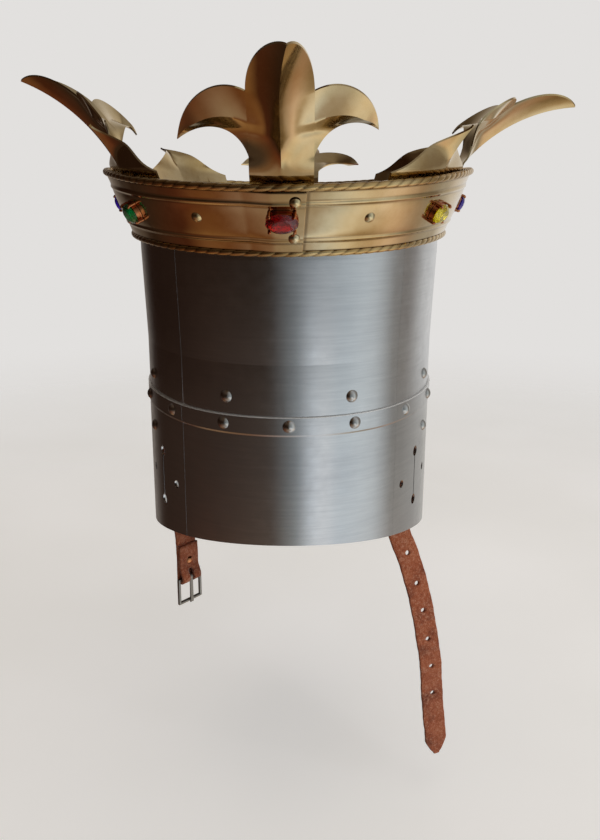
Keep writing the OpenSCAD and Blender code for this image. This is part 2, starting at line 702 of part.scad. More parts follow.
// Distance from the shell's wall line to the same tangent line of the crown's plan
function crown_shift(a) = reach(a) - reach(a + crown_turn);
module bracket_place(side, end) {
    a = (side == 0 ? -90 : 90) + end * bracket_a;
    p = plan_pt(a, 0);
    rotate(crown_turn) translate([p[0], p[1], 0]) rotate(a) translate([-crown_shift(a), 0, 0]) children();
}
module bracket_shell_hole() {
    translate([flare_out, 0, bracket_foot_z]) rivet_hole();
}
module bracket(a) {
    l = lean(a);
    out = foot_out(a) + crown_shift(a);
    // Inside face of the band at a slant height
    function skin(w, off) = [out + w * sin(l) + off * cos(l), foot_z(a) + w * cos(l) - off * sin(l)];
    back = -brass_t / 2 - bracket_gap;
    wall = flare_out + lap_gap;
    difference() {
        translate([0, bracket_w / 2, 0]) rotate([90, 0, 0]) linear_extrude(bracket_w)
            polygon([[wall, bracket_foot_z - 7], [wall + bracket_t, bracket_foot_z - 7],
                [wall + bracket_t, bracket_foot_z + 6], skin(rivet_up - 9, back - bracket_t) + [0.4, -1.6],
                skin(rivet_up - 8, back), skin(rivet_up + 6, back), skin(rivet_up + 6, back - bracket_t),
                skin(rivet_up - 7, back - bracket_t), [wall, bracket_foot_z + 8]]);
        bracket_shell_hole();
        translate([skin(rivet_up, 0)[0], 0, skin(rivet_up, 0)[1]]) rotate([0, l, 0]) rivet_hole(12);
    }
}
module crown_brackets() {
    color("darkgoldenrod") for (side = [0, 1], end = [-1, 1])
        bracket_place(side, end) bracket((side == 0 ? -90 : 90) + end * bracket_a);
}
panel_out = panel_rise + brass_t / 2;
bead_out = bead_h + brass_t / 2;
brass_head_h = 2.2;
brass_closed_r = 3;
foot_head_r = 3;
foot_head_h = 1.5;
module crown_rivets() {
    color("gold") {
        for (a = bracket_as) on_crown(a, rivet_up, panel_out + seat_gap)
            rivet(panel_out + brass_t / 2 + bracket_gap + bracket_t + 2 * seat_gap, brass_head_r,
                brass_head_h, brass_closed_r);
        for (side = [0, 1], end = [-1, 1]) bracket_place(side, end)
            translate([flare_out + lap_gap + bracket_t + seat_gap, 0, bracket_foot_z])
                rivet(bracket_t + plate_t + lap_gap + 3 * seat_gap, foot_head_r, foot_head_h, brass_closed_r);
    }
}
module seam_rivets() {
    lapped = bead_out + brass_t + band_gap;
    color("gold") for (w = seam_rivet_ws) on_crown(seam_rivet_place_a, w, lapped + 2 * seat_gap)
        rivet(lapped + brass_t / 2 + 4 * seat_gap, brass_head_r, brass_head_h, brass_closed_r);
}

// Middle line of a petal: it starts along the band's slope and bends evenly to its tip's lean
function bend(s, a0, a1, l) = s < 0 ? [s * cos(a0), s * sin(a0), a0]
    : let(k = (a1 - a0) / l, q = a0 + k * s, c = 180 / PI / k)
        [(sin(q) - sin(a0)) * c, (cos(a0) - cos(q)) * c, q];
function smooth(t) = let(u = min(max(t, 0), 1)) u * u * (3 - 2 * u);
petal_t = 1.3;
petal_in = rope_r + 0.3 + petal_t;
// The crease of a side petal starts inside the stem, and has half its height where the petal leaves it
function stem_rise(x, s) = petal_ridge / 2 * smooth((abs(x) - stem_clear) / (fleur_stem - stem_clear))
    * max(0, 1 - abs(s - root_mid) / (root_mid - root_low));
// Point of a fleur at x across and s along it, drop below its outer face
function fleur_pt(a, f, x_flat, s, drop) = let(
        start_a = s < 0 ? 90 - lean(a) : min(f[3], 90 - lean(a)),
        b = bend(s, start_a, f[0], fleur_l), base = crown_pt(a, crown_w, -petal_in),
        fold = (0.05 + 0.95 * smooth((s - 2) / 24)) * f[1] * (1 - exp(-abs(x_flat) / 18))
            + x_flat * x_flat / 270 * (1 - smooth(s / 26)),
        x = x_flat + f[2] * pow(max(0, s - lobe_from) / (fleur_l - lobe_from), 2),
        out = b[0] - (fold + drop) * sin(b[2]), n = facing(a))
    [base[0] + n[0] * out - n[1] * x, base[1] + n[1] * out + n[0] * x,
        base[2] + b[1] + (fold + drop) * cos(b[2])];

// Outline of a fleur: half width of its middle, and the three edges of a side petal
lobe_from = 48;
root_low = 12;
root_mid = 31;
stem_clear = 6;
root_high = 50;
tip_s = 18.6;
function fleur_half(s) = s < -foot_l ? tang_half_w : s <= lobe_from ? fleur_stem
    : max(0.4, fleur_stem * pow(1 - pow((s - lobe_from) / (fleur_l + 0.2 - lobe_from), 2), 0.85));
function curve(t, p) = pow(1 - t, 3) * p[0] + 3 * pow(1 - t, 2) * t * p[1]
    + 3 * (1 - t) * t * t * p[2] + t * t * t * p[3];
low_edge = [[fleur_stem, root_low], [24, 23], [42, 30], [fleur_half_w, tip_s - 0.4]];
mid_edge = [[fleur_stem, root_mid], [31, 37], [47, 35], [fleur_half_w, tip_s]];
high_edge = [[fleur_stem, root_high], [36, 55], [55, 42], [fleur_half_w, tip_s + 0.4]];
root_rows = 8;
root_ss = [for (i = [0 : root_rows]) root_low + (root_high - root_low) * i / root_rows];
tang_ss = [-tang_l, -foot_l - 6, -foot_l - 0.2, 0.2 - foot_l, 0];
mid_ss = concat(tang_ss, [4, 8], root_ss, [for (i = [1 : 9]) root_high + (fleur_l - root_high)
    * sin(i * 10)]);
across_n = 8;
lobe_steps = 10;

// Closed sheet from a grid of points: rows of m + 1 outer points and as many inner ones
module sheet(outer, inner) {
    n = len(outer) - 1;
    m = len(outer[0]) - 1;
    w = m + 1;
    half = (n + 1) * w;
    points = concat([for (r = outer) each r], [for (r = inner) each r]);
    grid = [for (i = [0 : n - 1], j = [0 : m - 1]) let(p = i * w + j) [p, p + 1, p + w + 1, p + w]];
    rim = concat([for (j = [0 : m - 1]) [j, j + 1]], [for (i = [0 : n - 1]) [m + i * w, m + i * w + w]],
        [for (j = [m : -1 : 1]) [n * w + j, n * w + j - 1]], [for (i = [n : -1 : 1]) [i * w, i * w - w]]);
    polyhedron(points, concat(
        [for (q = grid) each [[q[0], q[2], q[1]], [q[0], q[3], q[2]]]],
        [for (q = grid) each [[half + q[0], half + q[1], half + q[2]],
            [half + q[0], half + q[2], half + q[3]]]],
        [for (e = rim) each [[e[0], e[1], half + e[0]], [e[1], half + e[1], half + e[0]]]]));
}

function stem_grid(a, f, drop) = [for (s = mid_ss) [for (j = [0 : across_n])
    let(x = fleur_half(s) * (2 * j / across_n - 1)) fleur_pt(a, f, x, s, drop - stem_rise(x, s))]];
module fleur(a, f, turn) {
    rotate(crown_turn + turn) union() {
        sheet(stem_grid(a, f, 0), stem_grid(a, f, petal_t));
        lobe(a, f, 1, 0, petal_t);
        lobe(a, f, -1, petal_t, 0);
    }
}
// Side petal: its rows run from the stem out to the hooked tip
function lobe_flat(t, i) = let(share = (root_ss[i] - root_low) / (root_mid - root_low),
        up = (root_ss[i] - root_mid) / (root_high - root_mid))
    t == 0 ? [fleur_stem, root_ss[i]]
    : share <= 1 ? curve(t, low_edge) * (1 - share) + curve(t, mid_edge) * share
    : curve(t, mid_edge) * (1 - up) + curve(t, high_edge) * up;
// The crease along the middle of a side petal
function lobe_rise(t, i) = t == 0 ? stem_rise(fleur_stem, root_ss[i])
    : petal_ridge * (1 - abs(2 * i / root_rows - 1)) * smooth(0.5 + t) * (1 - smooth((t - 0.7) / 0.3));
function lobe_grid(a, f, side, drop) = [for (k = [0 : lobe_steps]) [for (i = [0 : root_rows])
    let(t = k / lobe_steps, p = lobe_flat(t, i), more = side * f[4] / 2 * t * t)
        fleur_pt(a, f, side * (p[0] - more), p[1] + more, drop - lobe_rise(t, i))]];
module lobe(a, f, side, first, second) {
    sheet(lobe_grid(a, f, side, second), lobe_grid(a, f, side, first));
}

// Each fleur is [lean of its tip, depth of its fold, sway of its tip, lean where it leaves the band,
// how much longer its left petal is]
module fleur_piece(a, f, turn = 0) {
    color("gold") difference() {
        fleur(a, f, turn);
        at_gem(a, 0) post_hole();
    }
}
module fleur_back() {
    fleur_piece(-90, [fleur_back_a, fleur_fold, fleur_sway, fleur_back_start_a, fleur_uneven]);
}
module fleur_front() {
    fleur_piece(90, [fleur_front_a, fleur_front_fold, 0, fleur_front_start_a, 0], front_turn);
}
module fleur_left() { fleur_piece(180, [fleur_left_a, fleur_fold, 0, fleur_left_start_a, 0]); }
module fleur_right() { fleur_piece(0, [fleur_right_a, fleur_fold, 0, fleur_right_start_a, 0]); }

// Broad leaves: their foot follows the band, the blade folds along its middle
leaf_share = 0.82;
leaf_ss = concat(tang_ss, [for (i = [1 : 10]) leaf_l * sin(i * 9)]);
function leaf_half(s) = s < -foot_l ? tang_half_w : s < 0 ? leaf_half_w * 0.98
    : max(0.4, leaf_half_w * pow(1 - s / (leaf_l + 0.6), 1.9));
// Turn of a direction from the nearest side of the helm, and its place along the wall from the nearest end
function side_angle(a) = let(t = abs(turned(a))) min(t, 180 - t);
function arc_at(t) = t <= join_a ? end_arc + (join_a - t) / 180 * PI * side_r
    : (90 - t) / 180 * PI * shell_end_r;
function leaf_pt(a, x, s, drop) = let(
        side = cos(a) > 0 ? 1 : -1, front = sin(a) > 0 ? 1 : -1,
        here = arc_at(side_angle(a)) - side * front * x * leaf_share,
        b_a = wall_a(here), local = front < 0 ? (side > 0 ? b_a : 180 - b_a) : (side > 0 ? -b_a : 180 + b_a),
        base = crown_pt(local, crown_w, -petal_in), centre = crown_pt(a, crown_w, -petal_in),
        b = bend(s, 90 - lean(a), front > 0 ? leaf_front_a : leaf_back_a, leaf_l), n = facing(a),
        fold = (0.05 + 0.95 * smooth((s - 1) / 15)) * leaf_fold * (1 - exp(-abs(x) / 12)),
        out = b[0] - (fold + drop) * sin(b[2]))
    [base[0] + n[0] * out, base[1] + n[1] * out,
        (base[2] + centre[2]) / 2 + b[1] + (fold + drop) * cos(b[2])];
module leaf(gem_a) {
    a = gem_a + leaf_turn;
    rows = 10;
    color("gold") difference() {
        rotate(crown_turn) sheet([for (s = leaf_ss) [for (j = [0 : rows])
                leaf_pt(a, leaf_half(s) * (2 * j / rows - 1), s, 0)]],
            [for (s = leaf_ss) [for (j = [0 : rows])
                leaf_pt(a, leaf_half(s) * (2 * j / rows - 1), s, petal_t)]]);
        at_gem(gem_a, 0) post_hole();
    }
}
module leaf_back_left() { leaf(180 + leaf_a); }
module leaf_back_right() { leaf(-leaf_a); }
module leaf_front_left() { leaf(180 - leaf_a); }
module leaf_front_right() { leaf(leaf_a); }

// Gem settings: a base plate, an oval wall that the stone's girdle overhangs, four claws and a post
module oval(half_w, half_h) {
    square([2 * (half_w - half_h), 2 * half_h], center = true);
    for (x = [-1, 1]) translate([x * (half_w - half_h), 0]) circle(half_h);
}
base_t = 0.8;
seat_h = 1.4;
wall_in = 1.2;
girdle_h = setting_h + 0.6;
girdle_t = 0.3;
claw_gap = 0.15;
claw_q = 45;
claw_place = [setting_half_w * cos(claw_q), setting_half_h * sin(claw_q)];
claw_out = unit([cos(claw_q) / setting_half_w, sin(claw_q) / setting_half_h]);
claw_lean = 0.5;
claw_top = girdle_h + girdle_t + 0.4;
module setting(off) {
    post_l = off + petal_in + petal_t + 0.8;
    wall_w = setting_half_w - setting_over;
    wall_h = setting_half_h - setting_over;
    rotate([0, 90, 0]) rotate(90) {
        linear_extrude(base_t) oval(setting_half_w, setting_half_h);
        difference() {
            linear_extrude(setting_h) oval(wall_w, wall_h);
            translate([0, 0, seat_h]) linear_extrude(setting_h) oval(wall_w - wall_in, wall_h - wall_in);
        }
        for (x = [-1, 1], y = [-1, 1]) {
            foot = claw_place + claw_out * (prong_r + claw_gap);
            tip = foot - claw_out * claw_lean;
            translate([x * foot[0], y * foot[1], 0]) {
                cylinder(r = prong_r, h = claw_top);
                translate([0, 0, claw_top]) sphere(prong_r);
            }
            translate([x * tip[0], y * tip[1], claw_top + 0.6]) sphere(prong_r * 0.95);
        }
        translate([0, 0, -post_l]) cylinder(r = post_r, h = post_l + small, $fn = 24);
        translate([0, 0, -post_l - post_end_h]) cylinder(r = post_end_r, h = post_end_h, $fn = 24);
    }
}
module gem_settings() {
    color("peru") for (a = gem_as) at_gem(a, gem_off(a)) setting(gem_off(a));
}
// Cut stone: a keel inside the wall, a girdle over it and a table above
module stone() {
    n = 16;
    seat = setting_over + wall_in + 0.1;
    rings = [[2.4, 1.6, seat_h + 0.2], [setting_half_w - seat, setting_half_h - seat, setting_h + 0.1],
        [setting_half_w, setting_half_h, girdle_h], [setting_half_w, setting_half_h, girdle_h + girdle_t],
        [setting_half_w * 0.86, setting_half_h * 0.86, girdle_h + gem_rise * 0.55],
        [setting_half_w * 0.6, setting_half_h * 0.6, girdle_h + gem_rise]];
    points = [for (r = rings, i = [0 : n - 1]) let(q = (i + 0.5) * 360 / n)
        [r[0] * cos(q), r[1] * sin(q), r[2]]];
    rotate([0, 90, 0]) rotate(90) polyhedron(points, stone_faces(len(rings) - 1, n));
}
function stone_faces(n, m) = concat([[for (j = [0 : m - 1]) j]], [[for (j = [m - 1 : -1 : 0]) n * m + j]],
    [for (i = [0 : n - 1], j = [0 : m - 1]) let(b = i * m, c = b + m, k = (j + 1) % m)
        each [[b + j, c + j, c + k], [b + j, c + k, b + k]]]);
module gem(i, shade) {
    color(shade) at_gem(gem_as[i], gem_off(gem_as[i])) stone();
}
module gem_back() { gem(0, "darkred"); }
module gem_back_right() { gem(1, "gold"); }
module gem_right() { gem(2, "rebeccapurple"); }
module gem_front_right() { gem(3, "green"); }
module gem_front() { gem(4, "darkred"); }
module gem_front_left() { gem(5, "gold"); }
module gem_left() { gem(6, "rebeccapurple"); }
module gem_back_left() { gem(7, "green"); }

// Straps: ribbons along hand set points [out from the strap rivet, height, turn of the width]
strap_in = lower_set - plate_t - strap_off - strap_t / 2;
// Smooth curve through a list of points at the place u, counted in points
function through(p, u) = let(n = len(p) - 1, i = min(floor(u), n - 1), t = u - i,
        p0 = p[max(i - 1, 0)], p1 = p[i], p2 = p[i + 1], p3 = p[min(i + 2, n)])
    0.5 * ((2 * p1) + (p2 - p0) * t + (2 * p0 - 5 * p1 + 4 * p2 - p3) * t * t
        + (3 * p1 - p0 - 3 * p2 + p3) * t * t * t);
right_path = [[0, -130, 0], [0, -150, 0], [-4, -180, -18], [-10, -210, -38], [-12.5, -232, -48],
    [-4, -254, -50], [4, -278, -50], [10, -301, -50], [15, -326, -50], [19, -349, -50],
    [21, -372, -50], [23.5, -396, -50], [26, -415, -50], [28, -436, -50]];
left_path = [[0, -130, 0], [0, -150, 0], [-3.5, -180, -20], [-11, -210, -44], [-16, -230, -58],
    [-17.5, -244, -60]];
function strap_pt(side, q) = let(a = side > 0 ? strap_a : 180 - strap_a, foot = plan_pt(a, strap_in),
        p = foot + facing(a) * q[0]) [p[0], p[1], q[1]];
function strap_dir(side, q) = let(a = (side > 0 ? strap_a + 90 : 90 - strap_a) + q[2]) [cos(a), sin(a), 0];
function unit(v) = v / norm(v);
// A ribbon along the path: half width and thickness at each station
module ribbon(side, path, steps, tip) {
    n = len(path) - 1;
    points = [for (k = [0 : steps]) let(u = k / steps * n, q = through(path, u), e = 0.02,
            c = strap_pt(side, q), w = strap_dir(side, q),
            ahead = strap_pt(side, through(path, min(u + e, n))),
            behind = strap_pt(side, through(path, max(u - e, 0))),
            t = unit(ahead - behind), out = unit(cross(t, w)), wide = unit(cross(out, t)),
            half = strap_w / 2 * (tip ? min(1, max(0.08, (c[2] - path[n][1]) / 14)) : 1))
        for (o = [-1, 1], s = [-1, 1]) c + out * o * strap_t / 2 + wide * s * half];
    polyhedron(points, ribbon_faces(steps));
}
module strap_right() {
    color("sienna") difference() {
        ribbon(1, right_path, 44, true);
        on_wall(strap_a, 0, strap_rivet_z) rivet_hole();
        for (i = [0 : punch_count - 1]) punch(punch_z - i * punch_pitch);
    }
}
// Punched hole through the right strap, square to its face at that height
module punch(z) {
    n = len(right_path) - 1;
    step = lookup(-z, [for (i = [0 : n]) [-right_path[i][1], i]]);
    q = through(right_path, step);
    c = strap_pt(1, q);
    w = strap_dir(1, q);
    translate(c) rotate(atan2(w[1], w[0]) - 90) translate([-8, 0, 0]) rotate([0, 90, 0])
        cylinder(r = punch_r, h = 16, $fn = 24);
}

// Fold of the left strap round the buckle's hinge bar, in a frame whose X faces out of the strap
fold_turn = -60;
fold_a = fold_turn - strap_a;
loop_in = wire_r + buckle_gap;
loop_out = loop_in + strap_t;
main_x = -loop_in - strap_t / 2;
bar_at = let(q = left_path[len(left_path) - 1], c = strap_pt(-1, q)) [c[0], c[1]]
    - main_x * [cos(fold_a), sin(fold_a)];
module at_bar() {
    translate([bar_at[0], bar_at[1], bar_z]) rotate(fold_a) children();
}
// Extrudes a shape of [out of the strap, height] to a width, centred on the strap
module strap_wide(w) {
    translate([0, w / 2, 0]) rotate([90, 0, 0]) linear_extrude(w) children();
}
flap_x = -loop_in + 0.15 + strap_t / 2;
fold_shank_r = 1.5;
fold_head_r = 3.2;
fold_head_h = 1.6;
fold_ball_r = 4.1;
slot_down = 10;
slot_up = 8;
module strap_left() {
    join_up = left_path[len(left_path) - 1][1] - bar_z;
    bend_up = 11;
    color("sienna") difference() {
        union() {
            ribbon(-1, left_path, 24, false);
            at_bar() {
                strap_wide(strap_w) translate([-loop_out, 0]) square([strap_t, join_up + 0.2]);
                strap_wide(strap_w) difference() {
                    circle(loop_out);
                    circle(loop_in);
                    translate([-2 * loop_out, small]) square([4 * loop_out, 2 * loop_out]);
                }
                strap_wide(strap_w) polygon([[loop_in, -small], [loop_out, -small],
                    [flap_x + strap_t / 2, bend_up], [flap_x + strap_t / 2, fold_end_up],
                    [flap_x - strap_t / 2, fold_end_up], [flap_x - strap_t / 2, bend_up]]);
            }
        }
        on_wall(180 - strap_a, 0, strap_rivet_z) rivet_hole();
        at_bar() {
            translate([-cutter_l / 2, 0, fold_rivet_up]) rotate([0, 90, 0])
                cylinder(r = fold_shank_r + rivet_gap, h = cutter_l);
            translate([-cutter_l / 2, -pin_w / 2 - 1, -slot_down])
                cube([cutter_l, pin_w + 2, slot_down + slot_up]);
        }
    }
}
module fold_rivet() {
    front = flap_x + strap_t / 2 + seat_gap;
    grip = front + loop_out + seat_gap;
    color("peru") at_bar() translate([front, 0, fold_rivet_up]) rotate([0, 90, 0]) {
        intersection() {
            translate([0, 0, fold_head_h - fold_ball_r]) sphere(fold_ball_r);
            cylinder(r = fold_head_r, h = fold_head_h);
        }
        translate([0, 0, -grip - small]) cylinder(r = fold_shank_r, h = grip + 2 * small);
        translate([0, 0, -grip - 1]) cylinder(r = fold_head_r, h = 1);
    }
}

module strap_rivets() {
    grip = lower_set + lap_gap / 2 - strap_in + strap_t / 2 + 0.1;
    color("gray") for (a = [strap_a, 180 - strap_a])
        on_wall(a, lower_set + lap_gap / 2, strap_rivet_z) rivet(grip);
}

// Buckle: a rectangle of bent wire, hung on its upper bar
frame_half_w = strap_w / 2 + buckle_gap + wire_r;
module buckle_frame() {
    color("silver") at_bar() {
        for (z = [0, -buckle_l]) translate([0, -frame_half_w, z]) rotate([-90, 0, 0])
            cylinder(r = wire_r, h = 2 * frame_half_w, $fn = 32);
        for (y = [-1, 1]) {
            translate([0, y * frame_half_w, -buckle_l]) cylinder(r = wire_r, h = buckle_l, $fn = 32);
            for (z = [0, -buckle_l]) translate([0, y * frame_half_w, z]) sphere(wire_r, $fn = 32);
        }
    }
}
// Tongue: a strip curled round the hinge bar, its point on the lower bar
module buckle_tongue() {
    eye_in = wire_r + buckle_gap * 0.6;
    rest = wire_r + 0.15;
    color("silver") at_bar() {
        strap_wide(pin_w) difference() {
            circle(eye_in + pin_t);
            circle(eye_in);
        }
        strap_wide(pin_w) polygon([[eye_in + 0.3, 0.4], [eye_in + pin_t - 0.3, 0.4],
            [rest + pin_t, -buckle_l - 1.5], [rest + 0.3, -buckle_l - 2.2], [rest, -buckle_l - 1.5]]);
    }
}

top_plate();
upper_back_plate();
upper_front_plate();
lower_back_plate();
lower_front_plate();
top_rivets();
joint_rivets();
side_seam_rivets();
liner_rivets();
strap_rivets();
liner_band();
liner_tongues();
liner_lace();
crown_band();
crown_top_rope();
crown_bottom_rope();
crown_brackets();
crown_rivets();
seam_rivets();
fleur_back();
fleur_front();
fleur_left();
fleur_right();
leaf_back_left();
leaf_back_right();
leaf_front_left();
leaf_front_right();
gem_settings();
gem_back();
gem_front();
gem_left();
gem_right();
gem_back_left();
gem_back_right();
gem_front_left();
gem_front_right();
strap_left();
strap_right();
fold_rivet();
buckle_frame();
buckle_tongue();
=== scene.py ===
# Great helm: riveted steel plates, a flared brass crown with roped borders, four fleurs and four broad
# leaves, cut stones in copper settings, a leather liner and two leather chin straps.
import math

import bpy
import numpy as np
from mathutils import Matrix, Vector


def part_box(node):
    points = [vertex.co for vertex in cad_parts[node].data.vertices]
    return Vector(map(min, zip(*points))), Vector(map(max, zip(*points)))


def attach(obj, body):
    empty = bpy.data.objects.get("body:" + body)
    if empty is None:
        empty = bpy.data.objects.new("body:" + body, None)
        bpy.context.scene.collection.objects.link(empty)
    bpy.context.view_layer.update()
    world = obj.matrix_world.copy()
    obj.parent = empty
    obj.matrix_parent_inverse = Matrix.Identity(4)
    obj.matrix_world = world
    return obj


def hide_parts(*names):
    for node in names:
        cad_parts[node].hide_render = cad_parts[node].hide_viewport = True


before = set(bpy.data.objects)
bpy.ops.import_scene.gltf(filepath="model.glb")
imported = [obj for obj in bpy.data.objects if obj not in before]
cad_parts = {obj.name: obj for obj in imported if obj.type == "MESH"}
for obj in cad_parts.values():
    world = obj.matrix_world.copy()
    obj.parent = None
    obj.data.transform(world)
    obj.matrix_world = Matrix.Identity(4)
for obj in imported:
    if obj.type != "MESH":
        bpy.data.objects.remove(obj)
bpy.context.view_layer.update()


# Shell. Five plates of mild steel, raised and rolled cold, then brushed round by hand and left bare.
# They are riveted to each other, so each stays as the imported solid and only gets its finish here.
def linear(hex_colour):
    parts = [int(hex_colour[i:i + 2], 16) / 255 for i in (0, 2, 4)]
    return [p / 12.92 if p <= 0.04045 else ((p + 0.055) / 1.055) ** 2.4 for p in parts] + [1]


def add(material, kind, inputs=None, stops=(), **settings):
    """Adds a node. An input that is a socket is linked, and any other value is set on the node's socket.
    A colour ramp gets its stops of (place, hex colour)."""
    tree = material.node_tree
    node = tree.nodes.new("ShaderNode" + kind)
    for name, value in settings.items():
        setattr(node, name, value)
    for name, value in (inputs or {}).items():
        if isinstance(value, bpy.types.NodeSocket):
            tree.links.new(value, node.inputs[name])
        else:
            node.inputs[name].default_value = value
    for place, colour in stops[2:]:
        node.color_ramp.elements.new(place)
    for i, (place, colour) in enumerate(stops):
        node.color_ramp.elements[i].position = place
        node.color_ramp.elements[i].color = linear(colour)
    return node


def new_finish(name):
    material = bpy.data.materials.new(name)
    material.use_nodes = True
    material.node_tree.nodes.clear()
    return material


def close_finish(material, **inputs):
    """Adds the surface shader with these inputs, and joins it to the output."""
    shader = add(material, "BsdfPrincipled", {k.replace("_", " "): value for k, value in inputs.items()})
    add(material, "OutputMaterial", {"Surface": shader.outputs["BSDF"]})
    return material


def grain_scale(size_mm):
    """The scale of a noise whose grains are about this wide, in a material whose coordinates are metres."""
    return 1000 / size_mm


mm = 0.001
# how far in from a plate's cut edge its painted edge highlight and painted seam shade start and are full, in
# millimetres
edge_in = 0.7
edge_out = 0.3


def brushed_steel(name, tones, brush_mm, low, high, edge_light_z=None, seam_shade_y=None):
    """Brushed mild steel: fine level scratches, faint clouds where oil has dried, a satin reflection."""
    steel = new_finish(name)
    place = add(steel, "TexCoord").outputs["Object"]
    # the scratches run round the helm, so the pattern is squeezed in height only
    round_it = add(steel, "Mapping", {"Vector": place, "Scale": (0.04, 0.04, 1)}).outputs["Vector"]
    scratch = add(steel, "TexNoise", {"Vector": round_it, "Scale": grain_scale(brush_mm), "Detail": 5,
                                      "Roughness": 0.6})
    cloud = add(steel, "TexNoise", {"Vector": place, "Scale": grain_scale(60), "Detail": 3})
    fleck = add(steel, "TexNoise", {"Vector": place, "Scale": grain_scale(9), "Detail": 6, "Roughness": 0.6})
    tone = add(steel, "ValToRGB", {"Fac": cloud.outputs["Fac"]}, tones).outputs["Color"]
    streak = add(steel, "ValToRGB", {"Fac": scratch.outputs["Fac"]}, [(0.3, "ECEDEE"), (0.7, "FFFFFF")])
    colour = add(steel, "Mix", {"Factor": 0.6, "A": tone, "B": streak.outputs["Color"]}, data_type="RGBA",
                 blend_type="MULTIPLY")
    rough = add(steel, "MapRange", {"Value": fleck.outputs["Fac"], "From Min": 0.3, "From Max": 0.7,
                                    "To Min": low, "To Max": high})
    bump = add(steel, "Bump", {"Height": scratch.outputs["Fac"], "Strength": 0.03, "Distance": 0.0003})
    inputs = dict(Base_Color=colour.outputs["Result"], Metallic=1, Roughness=rough.outputs["Result"],
                  Normal=bump.outputs["Normal"])
    part = add(steel, "SeparateXYZ", {"Vector": place})
    if edge_light_z is not None:
        # painted highlight: the top edge is painted pale and less metallic than the face, as a catch light
        # along it
        edge_light = add(steel, "MapRange", {"Value": part.outputs["Z"], "From Min": edge_light_z - edge_in * mm,
                                        "From Max": edge_light_z - edge_out * mm}).outputs[0]
        pale = add(steel, "Mix", {"Factor": edge_light, "A": inputs["Base_Color"], "B": linear("E4E2DE")},
                   data_type="RGBA")
        inputs["Base_Color"] = pale.outputs["Result"]
        inputs["Metallic"] = add(steel, "MapRange", {"Value": edge_light, "To Min": 1, "To Max": 0.2}).outputs[0]
    if seam_shade_y is not None:
        # painted shade: the cut edge of the outer plate in the side seams is painted dark, as the shade that
        # falls in the seam
        seam_shade = add(steel, "MapRange", {"Value": part.outputs["Y"], "From Min": seam_shade_y + 2 * edge_out * mm,
                                        "From Max": seam_shade_y + edge_out * mm}).outputs[0]
        dark = add(steel, "Mix", {"Factor": seam_shade, "A": inputs["Base_Color"], "B": linear("2A211B")},
                   data_type="RGBA")
        inputs["Base_Color"] = dark.outputs["Result"]
    return close_finish(steel, **inputs)


def paint(material, *nodes):
    for node in nodes:
        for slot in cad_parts[node].material_slots:
            slot.material = material


plate_tones = [(0.3, "CACCCF"), (0.55, "D4D6D8"), (0.8, "DADCDE")]
plate_finish = dict(tones=plate_tones, brush_mm=1.6, low=0.19, high=0.27)
paint(brushed_steel("steel_plate_brushed", **plate_finish), "top_plate", "upper_back_plate")
# the lower plates get a painted highlight along their top edge
paint(brushed_steel("steel_lapped_plate_brushed", edge_light_z=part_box("lower_back_plate")[1][2], **plate_finish),
      "lower_back_plate")
# the front plates get painted shade along their seam edge
paint(brushed_steel("steel_upper_front_brushed", seam_shade_y=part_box("upper_front_plate")[0][1], **plate_finish),
      "upper_front_plate")
paint(brushed_steel("steel_lower_front_brushed", edge_light_z=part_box("lower_front_plate")[1][2],
                    seam_shade_y=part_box("lower_front_plate")[0][1], **plate_finish), "lower_front_plate")

# Rivets of the shell. Mild steel with snap heads, hammered cold and polished by wear, so they are a
# little brighter than the plates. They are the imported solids.
steel_rivet = brushed_steel("steel_rivet_polished", [(0.3, "B4B2AE"), (0.6, "C9C8C5"), (0.8, "D5D4D2")], 1.2,
                            0.16, 0.26)
paint(steel_rivet, "top_rivets", "joint_rivets", "side_seam_rivets", "liner_rivets", "strap_rivets")

# Crown band. One strip of sheet brass, flared on stakes, with a raised line chased along each border.
# Its two ends lap at the back of the helm and are riveted there.
half_w = 114.8
half_l = 142.6
end_r = 99.6
end_c = half_l - end_r
side_r = (half_w ** 2 + end_c ** 2 - end_r ** 2) / (2 * (half_w - end_r))
side_c = side_r - half_w
join = math.atan2(end_c, side_c)


def plan_point(a, off):
    """Point of the helm's oval plan where the wall faces the direction a, at a distance outside it."""
    a = np.asarray(a, float)
    turned = np.abs((a + math.pi) % (2 * math.pi) - math.pi)
    side = (turned <= join) | (turned >= math.pi - join)
    x = np.where(side, np.where(np.cos(a) > 0, -side_c, side_c), 0)
    y = np.where(side, 0, np.where(np.sin(a) > 0, end_c, -end_c))
    r = np.where(side, side_r, end_r) + off
    return x + r * np.cos(a), y + r * np.sin(a)


crown_turn = math.radians(-1.4)
crown_w = 54
foot_side_z = 4
foot_dip = 5.8
foot_out_side = 5.7
foot_out_end = 9.8
lean_side = 21
lean_end = 35


def crown_share(a):
    return (plan_point(a, 0)[1] / half_l) ** 2


def crown_lean(a):
    return np.radians(lean_side + (lean_end - lean_side) * crown_share(a))


def crown_point(a, w, off):
    """Point of the crown at a slant height w, at a distance outside the middle of its sheet, all in mm."""
    lean, share = crown_lean(a), crown_share(a)
    foot_out = foot_out_side + (foot_out_end - foot_out_side) * share
    x, y = plan_point(a, foot_out + w * np.sin(lean) + off * np.cos(lean))
    z = foot_side_z - foot_dip * share + w * np.cos(lean) - off * np.sin(lean)
    return np.stack(np.broadcast_arrays(x, y, z), -1)


def turn_crown(points, more=0):
    c, s = math.cos(crown_turn + more), math.sin(crown_turn + more)
    return points @ np.array([[c, s, 0], [-s, c, 0], [0, 0, 1]])


def new_object(name, data):
    """Makes an object and puts it in the scene."""
    made = bpy.data.objects.new(name, data)
    bpy.context.scene.collection.objects.link(made)
    return made


